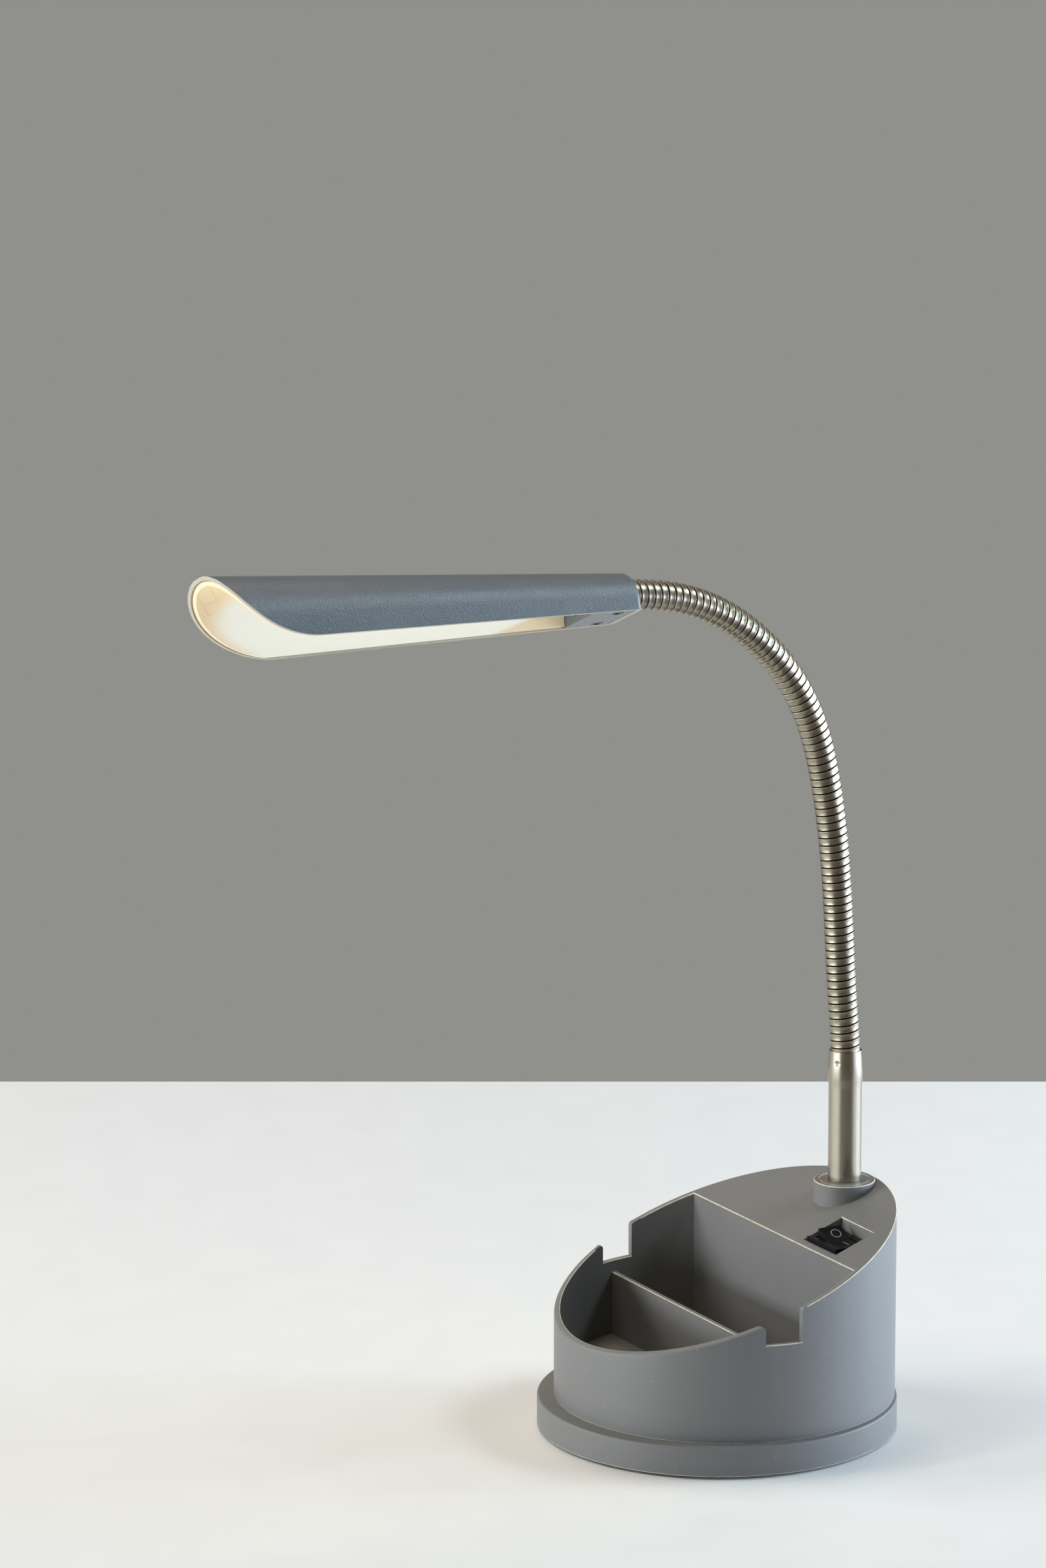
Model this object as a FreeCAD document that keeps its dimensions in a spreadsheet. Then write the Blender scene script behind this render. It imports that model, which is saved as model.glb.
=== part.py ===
# Desk lamp on a round organiser base: two open compartments, a sloped deck with a
# rocker switch, a steel stem, a stripwound flexible neck and a trough-shaped lamp head.
# Millimetres, +Z up. The origin is the centre of the foot on the desk top. The front of
# the base, its lowest rim, faces -Y. The neck bends forward in the plane x = 0.
import FreeCAD
import Part
import Sketcher
import math
import os

os.makedirs("parts", exist_ok=True)
doc = FreeCAD.newDocument("DeskLamp")
sheet = doc.addObject("Spreadsheet::Sheet", "Sizes")
sheet.Label = "Sizes"

# Driving dimensions, each written once. Angles are in degrees.
driving = {
    # foot and its filling
    "footDia": 140.0, "footHeight": 12.5, "footWall": 2.4, "footEdge": 0.8,
    "coverLift": 1.0, "coverThick": 2.0, "coverGap": 0.4,
    "weightDia": 100.0, "weightThick": 7.0,
    "matDia": 100.0, "matPocket": 1.0, "matPlay": 0.2,
    # organiser body
    "bodyDia": 132.6, "bodyBack": 3.3, "bodyWall": 2.4, "rimSlope": 20.1, "rimMid": 65.0,
    "floorTop": 21.0, "floorThick": 2.4, "deckThick": 2.4,
    "rearWallFront": 24.8, "rearWallThick": 2.2,
    "dividerBack": -9.2, "dividerThick": 2.0, "dividerTop": 46.4,
    "notchFront": -16.2, "notchWidth": 14.6, "notchFloor": 51.1, "notchCorner": 1.5,
    "bossDia": 9.0, "bossInset": 4.2, "frontBossAngle": 42.0, "rearBossAngle": 52.0,
    "rearBossTop": 28.0,
    # screws of the base
    "screwDia": 3.0, "screwHeadDia": 5.6, "screwHeadThick": 1.8, "screwBite": 5.0,
    "screwPlay": 0.2, "driveWidth": 1.0, "driveDepth": 0.7,
    # stem and its collar
    "stemY": 57.3, "stemDia": 13.0, "stemTop": 143.0, "shankDia": 10.0, "shankBottom": 62.0,
    "stemBore": 7.0, "bulgeDia": 13.5, "bulgeLow": 128.0, "bulgeHigh": 132.5,
    "crimpTopDia": 12.8, "collarDia": 24.0, "collarTop": 90.6, "collarBottom": 76.0,
    "bushDia": 19.4, "bushThick": 7.0, "bushSlit": 0.3, "shankPlay": 0.15,
    "washerDia": 18.0, "washerThick": 1.2, "nutAcross": 14.0, "nutThick": 6.0,
    # rocker switch and its recess in the deck
    "recessX": 30.3, "recessY": 36.3, "recessLength": 23.7, "recessWidth": 17.4,
    "recessFloor": 74.8, "recessWall": 1.8,
    "bezelLength": 21.2, "bezelWidth": 16.0, "bezelThick": 2.0, "cutoutPlay": 0.4,
    "switchBodyLength": 18.8, "switchBodyWidth": 12.6, "switchBodyDepth": 13.0,
    "switchWall": 1.0, "rockerPlay": 0.25, "rockerLength": 16.0, "rockerWaist": 13.6,
    "rockerSlope": 15.0, "rockerLip": 1.0, "rockerPivotDrop": 2.0,
    "rockerRise": 1.5, "rockerDepth": 3.2, "pivotDia": 2.4, "pivotPlay": 0.05,
    "pivotReach": 0.8,
    "bladeWidth": 4.8, "bladeThick": 0.8, "bladeReach": 7.5, "bladeStep": 7.0,
    # electrics in the rear of the base
    "glandZ": 21.0, "glandHoleDia": 8.0, "glandFlangeDia": 10.0, "glandFlange": 1.4,
    "glandGroovePlay": 0.1, "glandCordDia": 3.6,
    "boardX": -25.0, "boardY": 41.0, "boardLength": 34.0, "boardWidth": 18.0,
    "boardThick": 1.6, "standoffHeight": 5.0, "standoffDia": 6.0, "standoffInset": 4.0,
    "coilDia": 9.0, "coilHeight": 6.0, "capDia": 8.0, "capHeight": 12.0,
    "chipLength": 6.0, "chipWidth": 5.0, "chipHeight": 1.7, "componentStep": 7.0,
    # flexible neck
    "hoseStart": 136.0, "hoseDia": 11.7, "hoseGrooveDia": 10.4, "hoseBore": 6.4,
    "turnPitch": 3.05, "grooveShare": 0.26, "ballDia": 9.4, "ballPlay": 0.1,
    "jointGap": 1.3, "ballTop": 2.6, "socketTop": 4.0,
    # lamp head: sizes across and along its own axis
    "headLength": 180.0, "rearRadius": 12.2, "tipRadius": 21.0, "rearSide": 4.3,
    "tipSide": 8.1, "crestRise": 7.7, "headWall": 1.6, "headEndWall": 2.2,
    "headRoll": 24.7, "noseReach": 39.0, "hoseInHead": 8.0, "headHolePlay": 0.2,
    "headRound": 2.6,
    "linerGap": 0.25, "linerWall": 1.1, "linerCrest": 4.2, "linerLift": 0.6,
    "linerNose": 22.0,
    "ledStart": 46.0, "ledLength": 116.0, "ledWidth": 9.6, "ledThick": 1.2,
    "ledTopDrop": 3.0, "chipSide": 2.8, "chipRise": 0.6, "chipPlay": 0.15,
    "coverEnd": 21.5, "headCoverThick": 2.0,
    "clampStart": 3.0, "clampLength": 12.0, "clampTop": -0.6, "clampBottom": -6.6,
    "headScrewDia": 2.5, "headScrewHeadDia": 4.4, "headScrewHead": 1.2,
    "headScrewAcross": 7.9, "headBossWidth": 4.0,
    # one overrun serves every cut
    "overrun": 2.0,
}

# Lean of the neck from the vertical at its start and after each link: it leaves the stem
# almost upright, bends in a wide arc and enters the head nearly level.
leanAngles = [0.0, 5.6, 3.3, 3.7, 5.9, 9.5, 14.4, 26.4, 40.8, 52.5, 66.9, 81.2, 84.6]
turnsPerLink = 7
hoseSides = 16
ledCount = 18

for row, name in enumerate(driving, start=1):
    sheet.set("A%d" % row, name)
    sheet.set("B%d" % row, repr(driving[name]))
    sheet.setAlias("B%d" % row, name)
doc.recompute()


# A size knows its number and the expression that gives it from the sheet.
class Size:
    def __init__(self, text, value):
        self.text = text
        self.value = value

    def __add__(self, other):
        other = asSize(other)
        return Size("(%s + %s)" % (self.text, other.text), self.value + other.value)

    def __radd__(self, other):
        return asSize(other) + self

    def __sub__(self, other):
        other = asSize(other)
        return Size("(%s - %s)" % (self.text, other.text), self.value - other.value)

    def __rsub__(self, other):
        return asSize(other) - self

    def __mul__(self, other):
        other = asSize(other)
        return Size("(%s * %s)" % (self.text, other.text), self.value * other.value)

    def __rmul__(self, other):
        return asSize(other) * self

    def __truediv__(self, other):
        other = asSize(other)
        return Size("(%s / %s)" % (self.text, other.text), self.value / other.value)

    def __neg__(self):
        return Size("(0 - %s)" % self.text, -self.value)


def asSize(number):
    return number if isinstance(number, Size) else Size(repr(float(number)), float(number))


def sine(angle):
    return Size("sin(%s)" % angle.text, math.sin(math.radians(angle.value)))


def cosine(angle):
    return Size("cos(%s)" % angle.text, math.cos(math.radians(angle.value)))


def tangent(angle):
    return Size("tan(%s)" % angle.text, math.tan(math.radians(angle.value)))


def root(size):
    return Size("sqrt(%s)" % size.text, math.sqrt(size.value))


class Sheet:
    def __getattr__(self, name):
        return Size("Sizes." + name, driving[name])


sizes = Sheet()
zero = asSize(0)


def bind(obj, path, size):
    obj.setExpression(path, asSize(size).text)


def moveTo(obj, x, y, z):
    bind(obj, "Placement.Base.x", x)
    bind(obj, "Placement.Base.y", y)
    bind(obj, "Placement.Base.z", z)


# Part primitives and booleans, bound to the sheet.
def block(name, x, y, z, length, width, height):
    box = doc.addObject("Part::Box", name)
    bind(box, "Length", length)
    bind(box, "Width", width)
    bind(box, "Height", height)
    moveTo(box, x, y, z)
    return box


def centredBlock(name, x, y, z, length, width, height):
    return block(name, x - length / 2, y - width / 2, z, length, width, height)


def rod(name, x, y, z, radius, height, axis=None):
    cylinder = doc.addObject("Part::Cylinder", name)
    bind(cylinder, "Radius", radius)
    bind(cylinder, "Height", height)
    if axis is not None:
        turn = FreeCAD.Rotation(FreeCAD.Vector(0, 0, 1), FreeCAD.Vector(*axis))
        cylinder.Placement = FreeCAD.Placement(FreeCAD.Vector(0, 0, 0), turn)
    moveTo(cylinder, x, y, z)
    return cylinder


def cut(name, base, tool):
    result = doc.addObject("Part::Cut", name)
    result.Base = base
    result.Tool = tool
    return result


def fuse(name, shapes):
    result = doc.addObject("Part::MultiFuse", name)
    result.Shapes = shapes
    return result


def common(name, shapes):
    result = doc.addObject("Part::MultiCommon", name)
    result.Shapes = shapes
    return result


def group(name, items):
    result = doc.addObject("Part::Compound", name)
    result.Links = items
    return result


# Bodies made of sketches and features.
def newBody(name):
    return doc.addObject("PartDesign::Body", name)


def planeOf(body, role):
    return [item for item in body.Origin.OriginFeatures if item.Role == role][0]


def newSketch(body, name, role, lift=None):
    sketch = body.newObject("Sketcher::SketchObject", name)
    sketch.AttachmentSupport = (planeOf(body, role), [""])
    sketch.MapMode = "FlatFace"
    if lift is not None:
        bind(sketch, "AttachmentOffset.Base.z", lift)
    return sketch


def addRule(sketch, size, *rule):
    number = sketch.addConstraint(Sketcher.Constraint(*rule, asSize(size).value))
    sketch.setExpression("Constraints[%d]" % number, asSize(size).text)


# Two rules hold a point of the sketch at x, y from its origin.
def pinPoint(sketch, edge, end, x, y):
    if x is zero:
        sketch.addConstraint(Sketcher.Constraint("PointOnObject", edge, end, -2))
    elif x is not None:
        addRule(sketch, x, "DistanceX", -1, 1, edge, end)
    if y is zero:
        sketch.addConstraint(Sketcher.Constraint("PointOnObject", edge, end, -1))
    elif y is not None:
        addRule(sketch, y, "DistanceY", -1, 1, edge, end)


def flat(x, y):
    return FreeCAD.Vector(asSize(x).value, asSize(y).value, 0)


def drawPolygon(sketch, points):
    first = sketch.GeometryCount
    count = len(points)
    for index in range(count):
        ends = points[index], points[(index + 1) % count]
        sketch.addGeometry(Part.LineSegment(flat(*ends[0]), flat(*ends[1])))
    for index in range(count):
        sketch.addConstraint(Sketcher.Constraint(
            "Coincident", first + index, 2, first + (index + 1) % count, 1))
        pinPoint(sketch, first + index, 1, *points[index])


def drawCircle(sketch, x, y, radius):
    edge = sketch.addGeometry(Part.Circle(flat(x, y), FreeCAD.Vector(0, 0, 1), radius.value))
    pinPoint(sketch, edge, 3, x, y)
    addRule(sketch, radius, "Radius", edge)


def drawArc(sketch, centreY, radius, start, end):
    circle = Part.Circle(flat(zero, centreY), FreeCAD.Vector(0, 0, 1), radius.value)
    edge = sketch.addGeometry(Part.ArcOfCircle(circle, start, end))
    pinPoint(sketch, edge, 3, zero, centreY)
    addRule(sketch, radius, "Radius", edge)
    return edge


# The part of a round room, centred on x = 0, that lies between two straight walls.
# A wall that is None is left out, and the arc closes that end.
def drawRoom(sketch, centreY, radius, low, high):
    def angleOf(level):
        return math.asin((level.value - centreY.value) / radius.value)

    def halfWidth(level):
        return radius.value * math.cos(angleOf(level))

    if low is not None and high is not None:
        right = drawArc(sketch, centreY, radius, angleOf(low), angleOf(high))
        top = sketch.addGeometry(Part.LineSegment(
            flat(halfWidth(high), high), flat(-halfWidth(high), high)))
        left = drawArc(sketch, centreY, radius, math.pi - angleOf(high), math.pi - angleOf(low))
        bottom = sketch.addGeometry(Part.LineSegment(
            flat(-halfWidth(low), low), flat(halfWidth(low), low)))
        loop = [right, top, left, bottom]
    elif low is None:
        arc = drawArc(sketch, centreY, radius, math.pi - angleOf(high), 2 * math.pi + angleOf(high))
        top = sketch.addGeometry(Part.LineSegment(
            flat(halfWidth(high), high), flat(-halfWidth(high), high)))
        loop = [arc, top]
    else:
        arc = drawArc(sketch, centreY, radius, angleOf(low), math.pi - angleOf(low))
        bottom = sketch.addGeometry(Part.LineSegment(
            flat(-halfWidth(low), low), flat(halfWidth(low), low)))
        loop = [arc, bottom]
    for index, edge in enumerate(loop):
        following = loop[(index + 1) % len(loop)]
        sketch.addConstraint(Sketcher.Constraint("Coincident", edge, 2, following, 1))
    for edge, level in ((loop[1], high if high is not None else low), (loop[-1], low)):
        if level is not None:
            pinPoint(sketch, edge, 1, None, level)
            sketch.addConstraint(Sketcher.Constraint("Horizontal", edge))
        if len(loop) == 2:
            break


def pad(body, sketch, name, length, midplane=False):
    feature = body.newObject("PartDesign::Pad", name)
    feature.Profile = sketch
    feature.Midplane = midplane
    bind(feature, "Length", length)
    doc.recompute()
    return feature


def pocket(body, sketch, name, length, upward=False, midplane=False):
    before = body.Shape.Volume
    feature = body.newObject("PartDesign::Pocket", name)
    feature.Profile = sketch
    feature.Reversed = upward
    feature.Midplane = midplane
    bind(feature, "Length", length)
    doc.recompute()
    if not body.Shape.Volume < before:
        raise RuntimeError(name + " cuts nothing")
    return feature


def revolve(body, sketch, name):
    feature = body.newObject("PartDesign::Revolution", name)
    feature.Profile = sketch
    feature.ReferenceAxis = (sketch, ["V_Axis"])
    feature.Angle = 360
    doc.recompute()
    return feature


def roundEdges(body, base, name, radius, picks):
    edges = ["Edge%d" % number for number, edge in enumerate(base.Shape.Edges, start=1)
             if picks(edge)]
    if not edges:
        raise RuntimeError(name + " finds no edge")
    feature = body.newObject("PartDesign::Fillet", name)
    feature.Base = (base, edges)
    bind(feature, "Radius", radius)
    doc.recompute()
    return feature


# Shared places of the base.
footRadius = sizes.footDia / 2
bodyRadius = sizes.bodyDia / 2
roomRadius = bodyRadius - sizes.bodyWall
coverTop = sizes.coverLift + sizes.coverThick
footCeiling = sizes.footHeight - sizes.footWall
rearWallBack = sizes.rearWallFront + sizes.rearWallThick
dividerFront = sizes.dividerBack - sizes.dividerThick
slopeRise = tangent(sizes.rimSlope)


# Height of the sloped rim and deck at a distance y behind the origin.
def rimAt(y):
    return sizes.rimMid + slopeRise * y


# The four screw columns stand on a circle round the body's centre.
bossCircle = bodyRadius - sizes.bodyWall - sizes.bossInset
screwPlaces = []
for side in (-1, 1):
    screwPlaces.append((side * (bossCircle * sine(sizes.frontBossAngle)),
                        sizes.bodyBack - bossCircle * cosine(sizes.frontBossAngle)))
    screwPlaces.append((side * (bossCircle * sine(sizes.rearBossAngle)),
                        sizes.bodyBack + bossCircle * cosine(sizes.rearBossAngle)))
bossRadius = sizes.bossDia / 2
holeRadius = sizes.screwDia / 2 + sizes.screwPlay
nodes = []


def keep(obj, label):
    obj.Label = label
    nodes.append(obj)
    return obj


# Organiser body: a round tub cut off at a slope, with its rear closed by a deck.
def makeOrganiserBody():
    body = newBody("OrganiserMoulding")
    highest = rimAt(sizes.bodyBack + bodyRadius) + sizes.overrun
    sketch = newSketch(body, "BodyPlan", "XY_Plane", sizes.footHeight)
    drawCircle(sketch, zero, sizes.bodyBack, bodyRadius)
    pad(body, sketch, "Tub", highest - sizes.footHeight)

    sketch = newSketch(body, "RimSlope", "YZ_Plane")
    reach = footRadius + sizes.overrun
    above = highest + sizes.overrun
    drawPolygon(sketch, [(-reach, rimAt(-reach)), (reach, rimAt(reach)), (reach, above),
                         (-reach, above)])
    pocket(body, sketch, "SlopedRim", sizes.footDia + 2 * sizes.overrun, midplane=True)

    sketch = newSketch(body, "OpenTop", "XY_Plane", sizes.dividerTop)
    drawRoom(sketch, sizes.bodyBack, roomRadius, None, sizes.rearWallFront)
    pocket(body, sketch, "RoomAboveDivider", highest, upward=True)

    sketch = newSketch(body, "FrontRoomPlan", "XY_Plane", sizes.floorTop)
    drawRoom(sketch, sizes.bodyBack, roomRadius, None, dividerFront)
    pocket(body, sketch, "FrontRoom", sizes.dividerTop - sizes.floorTop, upward=True)

    sketch = newSketch(body, "RearRoomPlan", "XY_Plane", sizes.floorTop)
    drawRoom(sketch, sizes.bodyBack, roomRadius, sizes.dividerBack, sizes.rearWallFront)
    pocket(body, sketch, "RearRoom", sizes.dividerTop - sizes.floorTop, upward=True)

    sketch = newSketch(body, "NotchProfile", "YZ_Plane")
    notchBack = sizes.notchFront + sizes.notchWidth
    drawPolygon(sketch, [(sizes.notchFront, sizes.notchFloor), (notchBack, sizes.notchFloor),
                         (notchBack, above), (sizes.notchFront, above)])
    feature = pocket(body, sketch, "SideNotches", sizes.footDia, midplane=True)

    def isNotchCorner(edge):
        ends = [vertex.Point for vertex in edge.Vertexes]
        if len(ends) != 2 or abs(ends[0].y - ends[1].y) > 1e-6:
            return False
        level = ends[0].y
        onSide = min(abs(level - sizes.notchFront.value), abs(level - notchBack.value)) < 1e-6
        onRim = all(abs(end.z - rimAt(asSize(level)).value) < 1e-6 for end in ends)
        return onSide and onRim

    feature = roundEdges(body, feature, "NotchCorners", sizes.notchCorner, isNotchCorner)

    sketch = newSketch(body, "UnderFloorPlan", "XY_Plane", sizes.footHeight)
    drawCircle(sketch, zero, sizes.bodyBack, roomRadius)
    floorUnderside = sizes.floorTop - sizes.floorThick
    pocket(body, sketch, "UnderFloor", floorUnderside - sizes.footHeight, upward=True)

    # The wiring room behind the rear wall follows the slope of the deck above it.
    room = newBody("WiringRoom")
    sketch = newSketch(room, "WiringRoomPlan", "XY_Plane", sizes.footHeight)
    drawRoom(sketch, sizes.bodyBack, roomRadius, rearWallBack, None)
    pad(room, sketch, "WiringRoomPad", highest)
    sketch = newSketch(room, "DeckUnderside", "YZ_Plane")
    deckDrop = sizes.deckThick / cosine(sizes.rimSlope)
    tall = above + highest
    drawPolygon(sketch, [(-reach, rimAt(-reach) - deckDrop), (reach, rimAt(reach) - deckDrop),
                         (reach, tall), (-reach, tall)])
    pocket(room, sketch, "WiringRoomTop", sizes.footDia, midplane=True)
    hollow = cut("HollowMoulding", body, room)

    # Added inside: screw columns, the stem's collar and the box round the switch.
    additions = [hollow]
    for number, (x, y) in enumerate(screwPlaces):
        top = sizes.rearBossTop if y.value > 0 else floorUnderside + sizes.floorThick / 2
        additions.append(rod("ScrewColumn%d" % number, x, y, sizes.footHeight, bossRadius,
                             top - sizes.footHeight))
    additions.append(rod("Collar", zero, sizes.stemY, sizes.collarBottom,
                         sizes.collarDia / 2, sizes.collarTop - sizes.collarBottom))
    boxFloor = sizes.recessFloor - sizes.deckThick
    boxLength = sizes.recessLength + 2 * sizes.recessWall
    boxWidth = sizes.recessWidth + 2 * sizes.recessWall
    outerBox = centredBlock("SwitchBox", sizes.recessX, sizes.recessY, boxFloor,
                            boxLength, boxWidth, highest - boxFloor)
    additions.append(common("SwitchBoxUnderDeck", [outerBox, makeSlopedWedge()]))
    for number, (x, y) in enumerate(boardScrewPlaces()):
        additions.append(rod("BoardPost%d" % number, x, y, boardBase() - sizes.standoffHeight,
                             sizes.standoffDia / 2, sizes.standoffHeight))
    additions.append(makeBoardShelf())
    whole = fuse("MouldingWithColumns", additions)

    # Cut last: bores, the recess and the holes for the switch and the gland.
    cuts = []
    for number, (x, y) in enumerate(screwPlaces):
        cuts.append(rod("PilotHole%d" % number, x, y, sizes.footHeight - sizes.overrun,
                        sizes.screwDia / 2, sizes.screwBite + 2 * sizes.overrun))
    cuts.append(rod("BushSeat", zero, sizes.stemY, sizes.collarTop - sizes.bushThick,
                    sizes.bushDia / 2 + sizes.bushSlit, sizes.bushThick + sizes.overrun))
    cuts.append(rod("ShankBore", zero, sizes.stemY, sizes.collarBottom - sizes.overrun,
                    sizes.shankDia / 2 + sizes.shankPlay, sizes.collarTop))
    cuts.append(centredBlock("SwitchRecess", sizes.recessX, sizes.recessY, sizes.recessFloor,
                             sizes.recessLength, sizes.recessWidth, highest))
    cuts.append(centredBlock("SwitchCutout", sizes.recessX, sizes.recessY,
                             boxFloor - sizes.overrun,
                             sizes.switchBodyLength + sizes.cutoutPlay,
                             sizes.switchBodyWidth + sizes.cutoutPlay, highest))
    cuts.append(rod("GlandHole", zero, sizes.bodyBack + roomRadius - sizes.overrun,
                    sizes.glandZ, sizes.glandHoleDia / 2,
                    sizes.bodyWall + 2 * sizes.overrun, axis=(0, 1, 0)))
    for number, (x, y) in enumerate(boardScrewPlaces()):
        cuts.append(rod("BoardPilot%d" % number, x, y,
                        boardBase() - sizes.standoffHeight, sizes.headScrewDia / 2,
                        sizes.standoffHeight + sizes.overrun))
    return keep(cut("OrganiserBody", whole, fuse("MouldingBores", cuts)), "organizer_body")


# Everything under the slope of the deck, used to trim what stands up to it.
def makeSlopedWedge():
    wedge = newBody("BelowDeck")
    sketch = newSketch(wedge, "BelowDeckProfile", "YZ_Plane")
    reach = footRadius
    drawPolygon(sketch, [(-reach, zero), (reach, zero), (reach, rimAt(reach)),
                         (-reach, rimAt(-reach))])
    pad(wedge, sketch, "BelowDeckPad", sizes.footDia, midplane=True)
    return wedge


# The circuit board lies on two posts that rise from a shelf beside the rear wall.
def shelfTop():
    return sizes.rearBossTop


def boardBase():
    return shelfTop() + sizes.standoffHeight


def boardScrewPlaces():
    halfStep = sizes.boardLength / 2 - sizes.standoffInset
    return [(sizes.boardX - halfStep, sizes.boardY), (sizes.boardX + halfStep, sizes.boardY)]


def makeBoardShelf():
    length = sizes.boardLength
    depth = sizes.boardY + sizes.standoffDia / 2 - rearWallBack + sizes.rearWallThick / 2
    return block("BoardShelf", sizes.boardX - length / 2,
                 rearWallBack - sizes.rearWallThick / 2,
                 shelfTop() - sizes.bodyWall, length, depth, sizes.bodyWall)


# Foot: a round tray, open below, whose top carries the organiser body.
def makeFoot():
    body = newBody("FootMoulding")
    sketch = newSketch(body, "FootPlan", "XY_Plane", sizes.coverLift)
    drawCircle(sketch, zero, zero, footRadius)
    feature = pad(body, sketch, "FootPad", sizes.footHeight - sizes.coverLift)
    feature = roundEdges(body, feature, "FootTopEdge", sizes.footEdge, lambda edge:
                         abs(edge.BoundBox.ZMin - sizes.footHeight.value) < 1e-6)
    sketch = newSketch(body, "FootHollowPlan", "XY_Plane", sizes.coverLift)
    drawCircle(sketch, zero, zero, footRadius - sizes.footWall)
    pocket(body, sketch, "FootHollow", footCeiling - sizes.coverLift, upward=True)
    posts = [body]
    for number, (x, y) in enumerate(screwPlaces):
        posts.append(rod("FootPost%d" % number, x, y, coverTop, bossRadius,
                         footCeiling - coverTop + sizes.footWall / 2))
    holes = []
    for number, (x, y) in enumerate(screwPlaces):
        holes.append(rod("FootHole%d" % number, x, y, zero, holeRadius,
                         sizes.footHeight + sizes.overrun))
    return keep(cut("Foot", fuse("FootWithPosts", posts), fuse("FootHoles", holes)),
                "base_foot")


# Steel disc that keeps the lamp standing, held between the foot and the bottom cover.
def makeCounterweight():
    body = newBody("Counterweight")
    sketch = newSketch(body, "WeightPlan", "XY_Plane", coverTop)
    drawCircle(sketch, zero, zero, sizes.weightDia / 2)
    pad(body, sketch, "WeightPad", sizes.weightThick)
    return keep(body, "counterweight")


# The heads of the base screws bear on a step half way through the cover.
def screwSeat():
    return sizes.coverLift + sizes.coverThick / 2


# Cover that closes the foot from below, with pockets for the mat and screw heads.
def makeBottomCover():
    disc = rod("CoverDisc", zero, zero, sizes.coverLift,
               footRadius - sizes.footWall - sizes.coverGap, sizes.coverThick)
    cuts = []
    for number, (x, y) in enumerate(screwPlaces):
        cuts.append(rod("CoverHole%d" % number, x, y, zero, holeRadius,
                        coverTop + sizes.overrun))
        cuts.append(rod("CoverHeadPocket%d" % number, x, y, sizes.coverLift - sizes.overrun,
                        sizes.screwHeadDia / 2 + sizes.screwPlay,
                        sizes.overrun + screwSeat() - sizes.coverLift))
    cuts.append(rod("CoverMatPocket", zero, zero, zero, sizes.matDia / 2 + sizes.matPlay,
                    sizes.coverLift + sizes.matPocket))
    return keep(cut("BottomCover", disc, fuse("CoverCuts", cuts)), "bottom_cover")


# Rubber mat that the lamp stands on, proud of the cover by the cover's lift.
def makeMat():
    body = newBody("BaseMat")
    sketch = newSketch(body, "MatPlan", "XY_Plane")
    drawCircle(sketch, zero, zero, sizes.matDia / 2)
    pad(body, sketch, "MatPad", sizes.coverLift + sizes.matPocket)
    return keep(body, "base_mat")


# A pan-head screw standing on its head, with a cross slot in it.
def makeScrew(name, x, y, z, shankRadius, headRadius, headThick, length):
    shank = rod(name + "Shank", x, y, z + headThick, shankRadius, length)
    head = rod(name + "Head", x, y, z, headRadius, headThick)
    slots = [centredBlock(name + "SlotAcross", x, y, z - sizes.driveDepth,
                          headRadius, sizes.driveWidth, 2 * sizes.driveDepth),
             centredBlock(name + "SlotAlong", x, y, z - sizes.driveDepth,
                          sizes.driveWidth, headRadius, 2 * sizes.driveDepth)]
    return cut(name, fuse(name + "Blank", [shank, head]), fuse(name + "Cross", slots))


def makeBaseScrews():
    headBottom = screwSeat() - sizes.screwHeadThick
    length = sizes.footHeight + sizes.screwBite - screwSeat()
    screws = [makeScrew("BaseScrew%d" % number, x, y, headBottom, sizes.screwDia / 2,
                        sizes.screwHeadDia / 2, sizes.screwHeadThick, length)
              for number, (x, y) in enumerate(screwPlaces)]
    return keep(group("BaseScrews", screws), "base_screws")


# Stem: a steel tube with a narrower shank below and a mouth crimped round the neck.
def makeStem():
    body = newBody("Stem")
    sketch = newSketch(body, "StemProfile", "XZ_Plane")
    tube = sizes.stemDia / 2
    shank = sizes.shankDia / 2
    shoulder = sizes.collarTop - sizes.bushThick
    bore = sizes.stemBore / 2
    mouth = sizes.hoseDia / 2 + sizes.screwPlay
    drawPolygon(sketch, [
        (bore, sizes.shankBottom), (shank, sizes.shankBottom), (shank, shoulder),
        (tube, shoulder), (tube, sizes.bulgeLow), (sizes.bulgeDia / 2, sizes.bulgeHigh),
        (sizes.bulgeDia / 2, sizes.hoseStart), (sizes.crimpTopDia / 2, sizes.stemTop),
        (mouth, sizes.stemTop), (mouth, sizes.hoseStart), (bore, sizes.hoseStart)])
    revolve(body, sketch, "StemTurned")
    moveTo(body, zero, sizes.stemY, zero)
    return keep(body, "stem_tube")


# Plastic bush that centres the stem in the collar.
def makeBush():
    seat = sizes.collarTop - sizes.bushThick
    ring = rod("BushRing", zero, sizes.stemY, seat, sizes.bushDia / 2, sizes.bushThick)
    bore = rod("BushBore", zero, sizes.stemY, seat - sizes.overrun,
               sizes.stemDia / 2 + sizes.shankPlay, sizes.bushThick + 2 * sizes.overrun)
    return keep(cut("Bush", ring, bore), "stem_bush")


def makeWasher():
    low = sizes.collarBottom - sizes.washerThick
    ring = rod("WasherRing", zero, sizes.stemY, low, sizes.washerDia / 2, sizes.washerThick)
    bore = rod("WasherBore", zero, sizes.stemY, low - sizes.overrun,
               sizes.shankDia / 2 + sizes.shankPlay, sizes.washerThick + 2 * sizes.overrun)
    return keep(cut("Washer", ring, bore), "stem_washer")


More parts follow.
